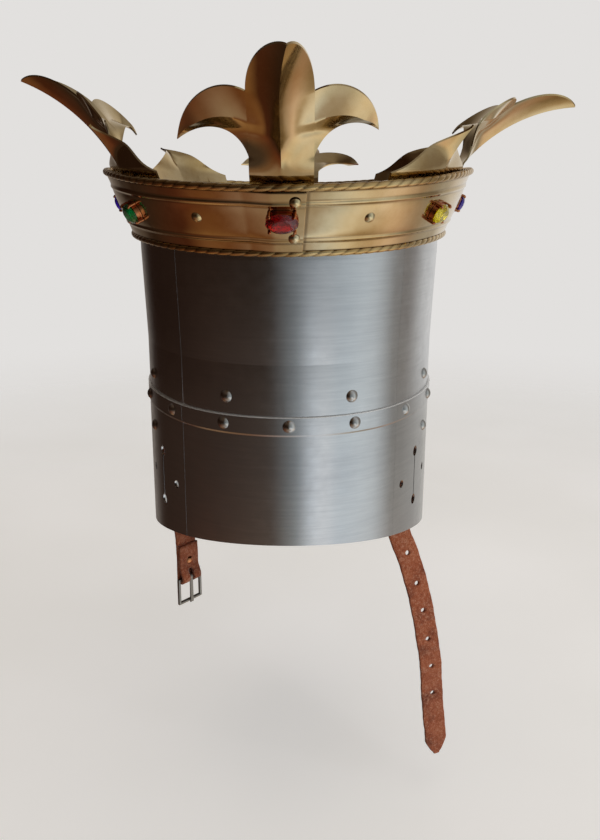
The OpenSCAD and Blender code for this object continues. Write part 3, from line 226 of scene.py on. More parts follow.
def make_piece(name, points, faces, material, node=None, body="root", smooth=40):
    """Makes a mesh from points in millimetres and rides it on a body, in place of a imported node."""
    mesh = bpy.data.meshes.new(name)
    mesh.from_pydata((np.asarray(points) * mm).tolist(), [], faces)
    mesh.validate()
    mesh.materials.append(material)
    mesh.shade_smooth()
    if smooth:
        mesh.set_sharp_from_angle(angle=math.radians(smooth))
    piece = new_object(name, mesh)
    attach(piece, body)
    if node:
        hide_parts(*([node] if isinstance(node, str) else node))
    return piece


def round_edges(piece, width, segments=2, angle=50):
    bevel = piece.modifiers.new("rounded_edges", "BEVEL")
    bevel.width = width * mm
    bevel.segments = segments
    bevel.limit_method = "ANGLE"
    bevel.angle_limit = math.radians(angle)
    return piece


def sheet_faces(rows, cols, ring=False):
    """Faces of a closed sheet whose points are a grid of the outer side, then the same grid inside."""
    half = rows * cols
    faces = []
    for i in range(rows if ring else rows - 1):
        n = (i + 1) % rows
        for j in range(cols - 1):
            a, b, c, d = i * cols + j, i * cols + j + 1, n * cols + j + 1, n * cols + j
            faces.append((a, b, c, d))
            faces.append((half + a, half + d, half + c, half + b))
        for j, turn in ((0, 1), (cols - 1, -1)):
            e = (i * cols + j, n * cols + j, half + n * cols + j, half + i * cols + j)
            faces.append(e[::turn])
    if not ring:
        for i, turn in ((0, -1), (rows - 1, 1)):
            for j in range(cols - 1):
                e = (i * cols + j, i * cols + j + 1, half + i * cols + j + 1, half + i * cols + j)
                faces.append(e[::turn])
    return faces


def aged_brass(name, tones, low, high):
    """Polished sheet brass that has aged: faint tarnish in clouds, soft hammer marks, fine hairlines."""
    brass = new_finish(name)
    place = add(brass, "TexCoord").outputs["Object"]
    cloud = add(brass, "TexNoise", {"Vector": place, "Scale": grain_scale(42), "Detail": 3})
    fine = add(brass, "TexNoise", {"Vector": place, "Scale": grain_scale(5), "Detail": 6, "Roughness": 0.6})
    hammer = add(brass, "TexNoise", {"Vector": place, "Scale": grain_scale(24), "Detail": 1,
                                     "Roughness": 0.4})
    tone = add(brass, "ValToRGB", {"Fac": cloud.outputs["Fac"]}, tones).outputs["Color"]
    speck = add(brass, "ValToRGB", {"Fac": fine.outputs["Fac"]}, [(0.3, "E2D8C4"), (0.6, "FFFFFF")])
    clean = add(brass, "Mix", {"Factor": 0.3, "A": tone, "B": speck.outputs["Color"]}, data_type="RGBA",
                blend_type="MULTIPLY")
    # tarnish that polishing has left where a piece has marked its deep places, and on the band painted shade
    # under its lapped end
    deep = add(brass, "Attribute", attribute_name="dark_share").outputs["Fac"]
    colour = add(brass, "Mix", {"Factor": deep, "A": clean.outputs["Result"], "B": linear("4A2A14")},
                 data_type="RGBA")
    rough = add(brass, "MapRange", {"Value": fine.outputs["Fac"], "From Min": 0.3, "From Max": 0.7,
                                    "To Min": low, "To Max": high})
    dents = add(brass, "Bump", {"Height": hammer.outputs["Fac"], "Strength": 0.12, "Distance": 0.0006})
    hair = add(brass, "Bump", {"Height": fine.outputs["Fac"], "Strength": 0.03, "Distance": 0.0003,
                               "Normal": dents.outputs["Normal"]})
    return close_finish(brass, Base_Color=colour.outputs["Result"], Metallic=1,
                        Roughness=rough.outputs["Result"], Normal=hair.outputs["Normal"])


crown_brass = aged_brass("crown_brass_aged", [(0.3, "C4A673"), (0.5, "CFB78A"), (0.7, "D8C49C")], 0.1, 0.17)

rope_r = 2.4
brass_t = 1.2
sheet_low = 2 * rope_r
sheet_high = crown_w - 2 * rope_r
line_in = 8.4
line_half_w = 1.2
line_h = 0.9
panel_rise = 0.8
lap = math.radians(9)
lap_gap = 0.35
seam = math.radians(-83.8)
rise_share = 0.02
line_cols = 40
panel_cols = 10


def band_rise(w):
    """How far the band's face stands out at a slant height: a soft panel, and a line by each border."""
    middle = (sheet_low + sheet_high) / 2
    panel = panel_rise * np.clip(1 - ((w - middle) / (sheet_high - middle - line_in)) ** 4, 0, 1)
    lines = sum(np.exp(-((w - c) / line_half_w) ** 2) for c in (sheet_low + line_in, sheet_high - line_in))
    return panel + line_h * lines


def mark(piece, name, values):
    """Keeps a value per point of a mesh, which its material reads."""
    piece.data.attributes.new(name, "FLOAT", "POINT").data.foreach_set("value", np.ravel(values))


band_steps = 540
band_ws = np.concatenate([np.linspace(sheet_low, sheet_low + 2 * line_in, line_cols),
                          np.linspace(sheet_low + 2 * line_in, sheet_high - 2 * line_in, panel_cols)[1:-1],
                          np.linspace(sheet_high - 2 * line_in, sheet_high, line_cols)])
t = np.linspace(0, 1, band_steps)[:, None]
lap_share = lap / (2 * math.pi + lap)
band_up = (brass_t + lap_gap) * np.clip((t - 1 + lap_share + rise_share) / rise_share, 0, 1)
band_a = seam + 2 * math.pi - (1 - t) * (2 * math.pi + lap)
band_off = band_rise(band_ws) + band_up
band_out = [turn_crown(crown_point(band_a, band_ws[None, :], band_off + side * brass_t / 2))
            for side in (1, -1)]
band = make_piece("crown_band_chased", np.concatenate([g.reshape(-1, 3) for g in band_out]),
                  sheet_faces(band_steps, len(band_ws)), crown_brass, "crown_band")
# tarnish by the ropes and along both lines' feet, and painted shade under the edge of the outer end
rope_tarnish_w = 0.7
line_tarnish_w = 0.6
line_foot = 2.1
by_rope = np.exp(-((np.minimum(band_ws - sheet_low, sheet_high - band_ws)) / rope_tarnish_w) ** 2)
from_line = np.minimum(np.abs(band_ws - sheet_low - line_in), np.abs(sheet_high - line_in - band_ws))
by_line = np.exp(-((from_line - line_foot) / line_tarnish_w) ** 2)
end_shade = np.clip(1 - np.abs(t - lap_share - 0.5 / band_steps) * band_steps, 0, 1)
tarnish_and_shade = np.maximum(0.6 * by_rope + 0.35 * by_line, 0.85 * end_shade)
mark(band, "dark_share", np.tile(tarnish_and_shade, (2, 1)))
round_edges(band, 0.3)

# Roped borders. Brass wire of two strands, twisted and soldered along the crown's top and bottom edges.
# The grooves between the strands keep their tarnish.
rope_steps = 2400
rope_sides = 20
rope_pitch = 9
rope_strands = 2
groove_depth = 0.2
groove_shape = 0.45
groove_tarnish = 0.9


def ring_faces(steps, sides):
    """Faces of a closed cord of this many steps round the ring and sides round the cord."""
    return [(i * sides + j, (i + 1) % steps * sides + j, (i + 1) % steps * sides + (j + 1) % sides,
             i * sides + (j + 1) % sides) for i in range(steps) for j in range(sides)]


def make_rope(name, w, node):
    ring = np.linspace(0, 2 * math.pi, rope_steps, endpoint=False)
    line = crown_point(ring, w, 0)
    step = np.linalg.norm(np.roll(line, -1, 0) - line, axis=1)
    along = np.concatenate([[0], np.cumsum(step)[:-1]])
    turns = round(step.sum() / rope_pitch)
    q = np.linspace(0, 2 * math.pi, rope_sides, endpoint=False)[None, :]
    phase = 2 * math.pi * turns * along[:, None] / step.sum() - rope_strands * q
    full = np.abs(np.sin(phase / 2)) ** groove_shape
    r = rope_r * (1 - groove_depth * (1 - full))
    points = turn_crown(crown_point(ring[:, None], w + r * np.sin(q), r * np.cos(q))).reshape(-1, 3)
    rope = make_piece(name, points, ring_faces(rope_steps, rope_sides), rope_brass, node,
                      smooth=None)
    mark(rope, "dark_share", groove_tarnish * (1 - full) ** 1.5)


rope_brass = aged_brass("border_brass_twisted", [(0.3, "B8935A"), (0.5, "CFB07A"), (0.7, "DCC493")], 0.2, 0.3)
make_rope("border_top_twisted", crown_w - rope_r, "crown_top_rope")
make_rope("border_bottom_twisted", rope_r, "crown_bottom_rope")

# Brackets and brass rivets. Bent strips of brass that carry the crown on the shell, and round headed
# rivets of a brighter, newer brass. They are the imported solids.
paint(crown_brass, "crown_brackets")
rivet_brass = aged_brass("rivet_brass_bright", [(0.3, "CFB787"), (0.5, "DDCBA0"), (0.7, "E6D8B4")], 0.16,
                         0.24)
paint(rivet_brass, "crown_rivets", "seam_rivets")

# Fleurs. Four fleurs-de-lis cut from sheet brass, sunk and creased: a keel runs up the middle petal and
# a ridge along each side petal. Their tangs go down inside the band, held by the post of a setting.
petal_t = 1.3
petal_in = rope_r + 0.3 + petal_t
fleur_l = 97.4
stem = 19.2
fleur_half_w = 59
lobe_from = 48
root_low = 12
root_mid = 31
root_high = 50
stem_clear = 6
front_turn = math.radians(-1.8)
tip_s = 18.6
tang_l = 31
tang_half_w = 14
foot_l = 8
# the tang's rows: its end, one between, and two close together where it widens to the foot
tang_rows = [-tang_l, -foot_l - 6, -foot_l - 0.2, 0.2 - foot_l]
ridge_h = 4.5
tip_half_w = 0.4
tip_fullness = 0.85
# the fold by the keel starts almost flat and is full this far up, and it spreads this far to each side
fold_least = 0.05
fold_from = 2
fold_rise_l = 24
fold_spread = 18
# the foot keeps some of the band's curve, which fades out this far up
foot_curve = 270
foot_curve_l = 26
stem_rows = 46
tip_rows = 30
stem_cols = 37
lobe_rows = 44
lobe_cols = 25
low_edge = ((stem, root_low), (24, 23), (42, 30), (fleur_half_w, tip_s - 0.4))
mid_edge = ((stem, root_mid), (31, 37), (47, 35), (fleur_half_w, tip_s))
high_edge = ((stem, root_high), (36, 55), (55, 42), (fleur_half_w, tip_s + 0.4))


def smooth_step(u):
    u = np.clip(u, 0, 1)
    return u * u * (3 - 2 * u)


def bend(s, start, end, length):
    """Out, up and angle from the level at s along a strip: straight below the band's edge, then bent."""
    k = (end - start) / length
    q = start + k * np.maximum(s, 0)
    out = (np.sin(q) - np.sin(start)) / k
    up = (np.cos(start) - np.cos(q)) / k
    return out + np.minimum(s, 0) * np.cos(start), up + np.minimum(s, 0) * np.sin(start), q


def fleur_point(a, x_flat, s, drop, start_lean, tip_lean, fold_depth, sway=0):
    """Point of a fleur, x_flat across it and s along it, drop below its outer face. The leans are angles
    from the level in degrees, at the foot and the tip, and the tip sways to one side."""
    slope = math.pi / 2 - float(crown_lean(a))
    above = bend(s, min(math.radians(start_lean), slope), math.radians(tip_lean), fleur_l)
    below = bend(s, slope, slope + 0.001, fleur_l)
    out, up, lean = (np.where(s < 0, b, t) for b, t in zip(below, above))
    base = crown_point(a, crown_w, -petal_in)
    deeper = fold_least + (1 - fold_least) * smooth_step((s - fold_from) / fold_rise_l)
    fold = (deeper * fold_depth * (1 - np.exp(-np.abs(x_flat) / fold_spread))
            + x_flat ** 2 / foot_curve * (1 - smooth_step(s / foot_curve_l)))
    x = x_flat + sway * (np.maximum(0, s - lobe_from) / (fleur_l - lobe_from)) ** 2
    out = out - (fold + drop) * np.sin(lean)
    c, n = math.cos(a), math.sin(a)
    return np.stack([base[0] + c * out - n * x, base[1] + n * out + c * x,
                     base[2] + up + (fold + drop) * np.cos(lean)], -1)


def fleur_half(s):
    past = np.maximum(s - lobe_from, 0) / (fleur_l + 0.2 - lobe_from)
    top = stem * np.maximum(1 - past ** 2, 0) ** tip_fullness
    return np.where(s < -foot_l, tang_half_w, np.where(s <= lobe_from, stem, np.maximum(top, tip_half_w)))


def curve(t, p):
    p = np.array(p, float)
    return (1 - t) ** 3 * p[0] + 3 * (1 - t) ** 2 * t * p[1] + 3 * (1 - t) * t * t * p[2] + t ** 3 * p[3]


def make_fleur(name, node, a, uneven=0, more_turn=0, **form):
    parts = []
    tip = root_high + (fleur_l - root_high) * np.sin(np.radians(np.linspace(3, 90, tip_rows)))
    s = np.concatenate([tang_rows, np.linspace(0, root_high, stem_rows), tip])[:, None]
    x = fleur_half(s) * np.linspace(-1, 1, stem_cols)[None, :]
    rise = (ridge_h / 2 * smooth_step((np.abs(x) - stem_clear) / (stem - stem_clear))
            * np.maximum(1 - np.abs(s - root_mid) / (root_mid - root_low), 0))
    parts.append([fleur_point(a, x, s + 0 * x, drop - rise, **form) for drop in (0, petal_t)])
    for side in (1, -1):
        t = np.linspace(0, 1, lobe_rows)[:, None, None]
        u = np.linspace(0, 2, lobe_cols)[None, :, None]
        low, mid, high = (curve(t, e) for e in (low_edge, mid_edge, high_edge))
        flat = np.where(u <= 1, low * (1 - u) + mid * u, mid * (2 - u) + high * (u - 1))
        ridge = ridge_h * (1 - np.abs(u - 1)) * smooth_step(0.5 + t) * (1 - smooth_step((t - 0.7) / 0.3))
        drops = [drop - ridge[..., 0] for drop in (0, petal_t)]
        more = side * uneven / 2 * t[..., 0] ** 2
        x, s = side * (flat[..., 0] - more), flat[..., 1] + more
        parts.append([fleur_point(a, x, s, drop, **form)[:, ::-side] for drop in drops])
    points, faces, start = [], [], 0
    for outer, inner in parts:
        rows, cols = outer.shape[:2]
        points += [outer.reshape(-1, 3), inner.reshape(-1, 3)]
        faces += [tuple(start + i for i in f[::-1]) for f in sheet_faces(rows, cols)]
        start += 2 * rows * cols
    points = turn_crown(np.concatenate(points), more_turn)
    piece = make_piece(name, points, faces, crown_brass, node, smooth=22)
    return round_edges(piece, 0.3)


make_fleur("fleur_back_petals", "fleur_back", math.radians(-90), uneven=5, start_lean=55, tip_lean=27,
           fold_depth=20, sway=5)
make_fleur("fleur_front_petals", "fleur_front", math.radians(90), more_turn=front_turn, start_lean=38,
           tip_lean=2, fold_depth=3)
make_fleur("fleur_left_petals", "fleur_left", math.radians(180), start_lean=61, tip_lean=21, fold_depth=20)
make_fleur("fleur_right_petals", "fleur_right", 0, start_lean=51, tip_lean=3, fold_depth=20)

# Broad leaves between the fleurs. Sheet brass too, folded once along the middle, with a foot as wide as
# the space between two fleurs that follows the band's curve.
leaf_l = 34
leaf_half_w = 51
leaf_fold = 9
leaf_share = 0.82
leaf_hollow = 1.9
leaf_foot_half_w = leaf_half_w * 0.98
leaf_fold_from = 1
leaf_fold_rise_l = 15
leaf_fold_spread = 12
leaf_rows = 40
leaf_cols = 61
leaf_turn = math.radians(-2.2)
leaf_place = math.radians(35)
end_arc = end_r * (math.pi / 2 - join)
quarter_arc = end_arc + side_r * join


def wall_direction(s):
    """Direction that the wall faces at a distance along it from the back's middle line, up to the front's."""
    back = np.where(s <= quarter_arc, s, 2 * quarter_arc - s)
    a = np.where(back <= end_arc, -math.pi / 2 + back / end_r, -join + (back - end_arc) / side_r)
    return np.where(s <= quarter_arc, a, -a)


def leaf_half(s):
    blade = leaf_half_w * np.maximum(1 - np.maximum(s, 0) / (leaf_l + 0.6), 0) ** leaf_hollow
    foot = np.where(s < -foot_l, tang_half_w, leaf_foot_half_w)
    return np.where(s < 0, foot, np.maximum(blade, tip_half_w))


def leaf_point(a, tip_lean, x, s, drop):
    side = 1 if math.cos(a) > 0 else -1
    front = 1 if math.sin(a) > 0 else -1
    turned = abs((a + math.pi) % (2 * math.pi) - math.pi)
    turned = min(turned, math.pi - turned)
    middle = end_arc + (join - turned) * side_r if turned <= join else (math.pi / 2 - turned) * end_r
    b = wall_direction(-side * front * x * leaf_share + middle)
    local = (b if side > 0 else math.pi - b) if front < 0 else (-b if side > 0 else math.pi + b)
    base, centre = crown_point(local, crown_w, -petal_in), crown_point(a, crown_w, -petal_in)
    out, up, lean = bend(s, math.pi / 2 - float(crown_lean(a)), math.radians(tip_lean), leaf_l)
    deeper = fold_least + (1 - fold_least) * smooth_step((s - leaf_fold_from) / leaf_fold_rise_l)
    fold = deeper * leaf_fold * (1 - np.exp(-np.abs(x) / leaf_fold_spread))
    out = out - (fold + drop) * np.sin(lean)
    return np.stack([base[..., 0] + math.cos(a) * out, base[..., 1] + math.sin(a) * out,
                     (base[..., 2] + centre[2]) / 2 + up + (fold + drop) * np.cos(lean)], -1)


def make_leaf(name, node, place, tip_lean):
    a = place + leaf_turn
    s = np.concatenate([tang_rows, leaf_l * np.sin(np.radians(np.linspace(0, 90, leaf_rows)))])[:, None]
    x = leaf_half(s) * np.linspace(-1, 1, leaf_cols)[None, :]
    grids = [leaf_point(a, tip_lean, x, s + 0 * x, drop) for drop in (0, petal_t)]
    faces = [f[::-1] for f in sheet_faces(*grids[0].shape[:2])]
    points = turn_crown(np.concatenate([g.reshape(-1, 3) for g in grids]))
    return round_edges(make_piece(name, points, faces, crown_brass, node, smooth=35), 0.3)


make_leaf("leaf_back_left_blade", "leaf_back_left", math.pi + leaf_place, 45)
make_leaf("leaf_back_right_blade", "leaf_back_right", -leaf_place, 45)
make_leaf("leaf_front_left_blade", "leaf_front_left", math.pi - leaf_place, 22)
make_leaf("leaf_front_right_blade", "leaf_front_right", leaf_place, 22)

# Settings. Oval copper collets, each with four prongs that hold a stone and a post that goes through
# the band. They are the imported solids.
setting_copper = aged_brass("setting_copper_worn", [(0.3, "A05030"), (0.5, "C47A50"), (0.7, "DC9C70")], 0.16,
                            0.28)
paint(setting_copper, "gem_settings")

# Stones. Eight oval stones with a table, three rows of facets above the girdle and a keel below, cut
# from coloured glass. The four prongs of each setting hold the girdle down.
gem_half_w = 10.2
gem_half_h = 7.2
wall_inset = 2.1
panel_out = panel_rise + brass_t / 2
seat_h = 1.4
setting_h = 3.2
girdle_h = setting_h + 0.6
gem_rise = 3.2
gem_up = 3.5
stone_sides = 16
keel_half_w = 2.4
keel_half_h = 1.6
gem_clear = 0.05
# above the girdle: share of the outline, height over the girdle, turn in half facets
facet_rows = ((1, 0, 0), (1, 0.3, 0), (0.87, 0.55 * gem_rise, 1), (0.72, 0.84 * gem_rise, 0),
              (0.58, gem_rise, 1))


def cut_glass(name, deep, bright):
    """Coloured glass, cut and polished: deep colour in the body, clear sharp reflections on the facets."""
    glass = new_finish(name)
    place = add(glass, "TexCoord").outputs["Object"]
    depth = add(glass, "TexNoise", {"Vector": place, "Scale": grain_scale(7)})
    colour = add(glass, "ValToRGB", {"Fac": depth.outputs["Fac"]}, [(0.35, deep), (0.65, bright)])
    return close_finish(glass, Base_Color=colour.outputs["Color"], Roughness=0.03, IOR=1.62,
                        Transmission_Weight=0.85, Coat_Weight=0.3, Coat_Roughness=0.02)


def stone_foil(name, deep, bright):
    """Coloured tin foil pressed under a stone: it sends the light back up through the glass."""
    foil = new_finish(name)
    place = add(foil, "TexCoord").outputs["Object"]
    crease = add(foil, "TexNoise", {"Vector": place, "Scale": grain_scale(2), "Detail": 3})
    colour = add(foil, "ValToRGB", {"Fac": crease.outputs["Fac"]}, [(0.35, deep), (0.65, bright)])
    bump = add(foil, "Bump", {"Height": crease.outputs["Fac"], "Strength": 0.3, "Distance": 0.0005})
    return close_finish(foil, Base_Color=colour.outputs["Color"], Metallic=1, Roughness=0.2,
                        Normal=bump.outputs["Normal"])


def unit(v):
    return v / np.linalg.norm(v, axis=-1, keepdims=True)


def crown_normal(a, w):
    """Direction straight out of the crown's surface."""
    step = 0.01
    around = crown_point(a + step, w, 0) - crown_point(a - step, w, 0)
    return unit(np.cross(around, crown_point(a, w + 1, 0) - crown_point(a, w - 1, 0)))


def make_stone(name, node, a, w, lift, finishes):
    # rows of [half width, half height, height over the band, turn in half facets]
    rows = [(keel_half_w, keel_half_h, seat_h + 0.2, 0),
            (gem_half_w - wall_inset, gem_half_h - wall_inset, setting_h + 0.1, 1)]
    rows += [(gem_half_w * share, gem_half_h * share, girdle_h + h, turn) for share, h, turn in facet_rows]
    out = crown_normal(a, w)
    origin = crown_point(a, w, 0) + out * (panel_out + gem_clear + lift)
    across = unit(np.cross((0, 0, 1), out))
    up = np.cross(out, across)
    points, faces, n = [], [], stone_sides
    for half_x, half_y, h, turn in rows:
        for j in range(n):
            q = (j + turn / 2) * 2 * math.pi / n + math.pi / n / 2
            points.append(origin + across * half_x * math.cos(q) + up * half_y * math.sin(q) + out * h)
    for i in range(len(rows) - 1):
        for j in range(n):
            b, k = i * n, (j + 1) % n
            if rows[i][3] == rows[i + 1][3]:
                faces.append((b + j, b + k, b + n + k, b + n + j))
            elif rows[i + 1][3] == 1:
                faces += [(b + j, b + k, b + n + j), (b + k, b + n + k, b + n + j)]
            else:
                faces += [(b + j, b + n + k, b + n + j), (b + j, b + k, b + n + k)]
    faces += [tuple(range(n))[::-1], tuple(range((len(rows) - 1) * n, len(rows) * n))]
    glass, foil = finishes
    piece = make_piece(name, turn_crown(np.array(points)), faces, glass, node, smooth=None)
    piece.data.shade_flat()
    piece.data.materials.append(foil)
    # the keel's facets lie on the foil
    for i in (*range(2 * n), len(faces) - 2):
        piece.data.polygons[i].material_index = 1


# each colour's glass in its depth and in the light, then its foil in the same way
stone_colours = {"red": ("8E0210", "C80A1C", "A83040", "FF8A90"),
                 "purple": ("3A1C9C", "6A38D8", "6A5AC8", "B8A8FF"),
                 "green": ("025C38", "089858", "3E9A6E", "90F0C0"),
                 "yellow": ("F0DC08", "FFF418", "E8DC60", "FFFFB0")}
stone_finishes = {}
for colour, hexes in stone_colours.items():
    stone_finishes[colour] = (cut_glass(f"stone_{colour}_glass", *hexes[:2]),
                              stone_foil(f"foil_{colour}", *hexes[2:]))
middle_w = crown_w / 2
stones = [("back", -90, "red"), ("back_right", -35, "yellow"), ("right", 0, "purple"),
          ("front_right", 35, "green"), ("front", 90, "red"), ("front_left", 145, "yellow"),
          ("left", 180, "purple"), ("back_left", 215, "green")]
for name, place, colour in stones:
    ends = abs(place) == 90
    make_stone("stone_" + name, "gem_" + name, math.radians(place), middle_w + (gem_up if ends else 0),
               brass_t + lap_gap if place == -90 else 0, stone_finishes[colour])

# Straps. Two chin straps of thick russet leather, flesh side out, each riveted inside the lower plates.
# The right one has six punched holes; the left one is folded round the buckle's bar and riveted.
strap_w = 20
strap_t = 2.6
lower_set = 0.6
plate_t = 1.4
strap_off = 0.8
strap_arc = 145
strap_a = float(wall_direction(np.array(strap_arc, float)))
strap_in = lower_set - plate_t - strap_off - strap_t / 2
right_path = ((0, -130, 0), (0, -150, 0), (-4, -180, -18), (-10, -210, -38), (-12.5, -232, -48),
              (-4, -254, -50), (4, -278, -50), (10, -301, -50), (15, -326, -50), (19, -349, -50),
              (21, -372, -50), (23.5, -396, -50), (26, -415, -50), (28, -436, -50))
left_path = ((0, -130, 0), (0, -150, 0), (-3.5, -180, -20), (-11, -210, -44), (-16, -230, -58),
             (-17.5, -244, -60))
corner_r = 0.8
corner_steps = 5
flat_steps = 7


def through(path, u):
    """Smooth curve through the path's points, at the place u counted in points."""
    p = np.array(path, float)
    n = len(p) - 1
    i = np.minimum(np.floor(u).astype(int), n - 1)
    t = (u - i)[:, None]
    p0, p1, p2, p3 = p[np.maximum(i - 1, 0)], p[i], p[i + 1], p[np.minimum(i + 2, n)]
    return 0.5 * (2 * p1 + (p2 - p0) * t + (2 * p0 - 5 * p1 + 4 * p2 - p3) * t ** 2
                  + (3 * p1 - p0 - 3 * p2 + p3) * t ** 3)


def strap_line(side, path, steps):
    """Centre line of a strap and the direction of its width at each step."""
    q = through(path, np.linspace(0, len(path) - 1, steps))
    a = strap_a if side > 0 else math.pi - strap_a
    x, y = plan_point(a, strap_in)
    centre = np.stack([x + math.cos(a) * q[:, 0], y + math.sin(a) * q[:, 0], q[:, 1]], -1)
    b = (strap_a + math.pi / 2 if side > 0 else math.pi / 2 - strap_a) + np.radians(q[:, 2])
    return centre, np.stack([np.cos(b), np.sin(b), 0 * b], -1)


def make_strap(name, centre, width, half_widths, node, body):
    """Leather ribbon along a line: a section with rounded edges, slightly uneven as cut hide is."""
    t = unit(np.gradient(centre, axis=0))
    out = unit(np.cross(t, width))
    wide = unit(np.cross(out, t))
    flat_z = strap_t / 2 - corner_r
    section = []
    for sx, sz, start in ((1, 1, 0), (-1, 1, 90), (-1, -1, 180), (1, -1, 270)):
        for q in np.radians(start + np.linspace(0, 90, corner_steps)):
            section.append((sx, corner_r * (math.cos(q) - sx), sz * flat_z + corner_r * math.sin(q)))
    ring = []
    for i, (sx, dx, z) in enumerate(section):
        ring.append((sx, dx, z))
        if i in (corner_steps - 1, 3 * corner_steps - 1):
            for k in range(1, flat_steps):
                ring.append((sx * (1 - 2 * k / flat_steps), 0, z))
    rows = len(centre)
    # two slow waves, a few tenths of a millimetre, as an unsteady knife leaves
    wobble = 0.25 * np.sin(np.arange(rows) * 0.31) + 0.15 * np.sin(np.arange(rows) * 0.83 + 1)
    points = []
    for i in range(rows):
        h = half_widths[i] + wobble[i] * min(1, half_widths[i] / 4) * 0.6
        for sx, dx, z in ring:
            points.append(centre[i] + wide[i] * (sx * h + dx * min(1, h / 3)) + out[i] * z)
    m = len(ring)
    faces = [tuple(range(m))[::-1], tuple(range((rows - 1) * m, rows * m))]
    for i in range(rows - 1):
        for j in range(m):
            k = (j + 1) % m
            faces.append((i * m + j, i * m + k, (i + 1) * m + k, (i + 1) * m + j))
    return make_piece(name, points, faces, strap_leather, node, body, smooth=None)


def flesh_leather(name, tones, edge, fibre_mm):
    """Vegetable tanned leather, flesh side: matt, with loose pale fibres, darker where it was rubbed."""
    leather = new_finish(name)
    place = add(leather, "TexCoord").outputs["Object"]
    cloud = add(leather, "TexNoise", {"Vector": place, "Scale": grain_scale(22), "Detail": 6,
                                      "Roughness": 0.65})
    fibre = add(leather, "TexNoise", {"Vector": place, "Scale": grain_scale(fibre_mm), "Detail": 10,
                                      "Roughness": 0.8, "Distortion": 0.6})
    nap = add(leather, "TexVoronoi", {"Vector": place, "Scale": grain_scale(1.1)}, feature="SMOOTH_F1")
    tone = add(leather, "ValToRGB", {"Fac": cloud.outputs["Fac"]}, tones).outputs["Color"]
    pale = add(leather, "ValToRGB", {"Fac": fibre.outputs["Fac"]}, [(0.5, "000000"), (0.62, "FFFFFF")])
    amount = add(leather, "Math", {0: pale.outputs["Color"], 1: 0.6}, operation="MULTIPLY")
    napped = add(leather, "Mix", {"Factor": amount.outputs[0], "A": tone, "B": linear(edge)},
                 data_type="RGBA")
    # pits between the fibres, where no light reaches
    pits = add(leather, "ValToRGB", {"Fac": fibre.outputs["Fac"]}, [(0.36, "E0E0E0"), (0.44, "000000")])
    colour = add(leather, "Mix", {"Factor": pits.outputs["Color"], "A": napped.outputs["Result"],
                                  "B": linear(tones[0][1])}, data_type="RGBA")
    height = add(leather, "Math", {0: fibre.outputs["Fac"], 1: nap.outputs["Distance"]}, operation="ADD")
    bump = add(leather, "Bump", {"Height": height.outputs[0], "Strength": 0.7, "Distance": 0.0007})
    return close_finish(leather, Base_Color=colour.outputs["Result"], Roughness=0.86,
                        Normal=bump.outputs["Normal"], Sheen_Weight=0.25, Sheen_Roughness=0.5)


strap_leather = flesh_leather("strap_leather_russet", [(0.25, "5C2412"), (0.5, "AC5A36"), (0.75, "BE6E46")],
                              "E0A684", 2.6)
punch_r = 2
punch_pitch = 25
punch_z = -252
punch_count = 6
point_l = 14
line, width = strap_line(1, right_path, 240)
taper = np.clip((line[:, 2] - right_path[-1][1]) / point_l, 0.08, 1)
strap_right = make_strap("strap_right_punched", line, width, strap_w / 2 * np.sqrt(taper), "strap_right",
                         "right_strap")


def cut_round(piece, at, direction, r, depth=16, sides=24):
    """Cuts a round hole through a piece, and leaves no cutter behind."""
    ring = [(r * math.cos(q), r * math.sin(q)) for q in np.linspace(0, 2 * math.pi, sides, endpoint=False)]
    turn = Vector(direction).normalized().to_track_quat("Z", "Y")
    points = [Vector(at) + turn @ Vector((x, y, z)) for z in (-depth / 2, depth / 2) for x, y in ring]
    faces = [tuple(range(sides))[::-1], tuple(range(sides, 2 * sides))]
    faces += [(i, (i + 1) % sides, sides + (i + 1) % sides, sides + i) for i in range(sides)]
    mesh = bpy.data.meshes.new("cutter")
    mesh.from_pydata([tuple(p * mm) for p in points], [], faces)
    cutter = new_object("cutter", mesh)
    cut = piece.modifiers.new("hole", "BOOLEAN")
    cut.object = cutter
    cut.operation = "DIFFERENCE"
    cut.solver = "EXACT"
    bpy.context.view_layer.update()
    shape = piece.evaluated_get(bpy.context.evaluated_depsgraph_get())
    done = bpy.data.meshes.new_from_object(shape)
    piece.modifiers.clear()
    piece.data = done
    bpy.data.objects.remove(cutter)
    bpy.data.meshes.remove(mesh)


for i in range(punch_count):
    near = int(np.argmin(np.abs(line[:, 2] - (punch_z - i * punch_pitch))))
    face = np.cross(line[near + 1] - line[near - 1], width[near])
    cut_round(strap_right, line[near], face, punch_r)

# Left strap. The same leather, folded round the buckle's bar and back up on itself, where a rivet holds
# it. A slot in the fold lets the tongue through.
wire_r = 1.4
buckle_gap = 0.35
loop_in = wire_r + buckle_gap
main_x = -loop_in - strap_t / 2
flap_x = -loop_in + 0.15 + strap_t / 2
bar_z = -273.8
fold_end_up = 29
fold_bend_up = 11
fold_a = math.radians(-60) - strap_a
line, width = strap_line(-1, left_path, 90)
bar = line[-1][:2] - main_x * np.array([math.cos(fold_a), math.sin(fold_a)])
loop_r = loop_in + strap_t / 2
fold = [(main_x, z) for z in np.linspace(left_path[-1][1] - bar_z, 0, 16)[1:]]
fold += [(-loop_r * math.cos(q), -loop_r * math.sin(q)) for q in np.linspace(0, math.pi, 15)[1:]]
rise = smooth_step(np.linspace(0, 1, 9))[1:]
fold += [(loop_r + (flap_x - loop_r) * s, fold_bend_up * u) for s, u in zip(rise, np.linspace(0, 1, 9)[1:])]
fold += [(flap_x, z) for z in np.linspace(fold_bend_up, fold_end_up, 9)[1:]]
fold_line = np.array([[bar[0] + math.cos(fold_a) * x, bar[1] + math.sin(fold_a) * x, bar_z + z]
                      for x, z in fold])
fold_width = np.tile([-math.sin(fold_a), math.cos(fold_a), 0], (len(fold), 1))
if np.dot(fold_width[0], width[-1]) < 0:
    fold_width = -fold_width
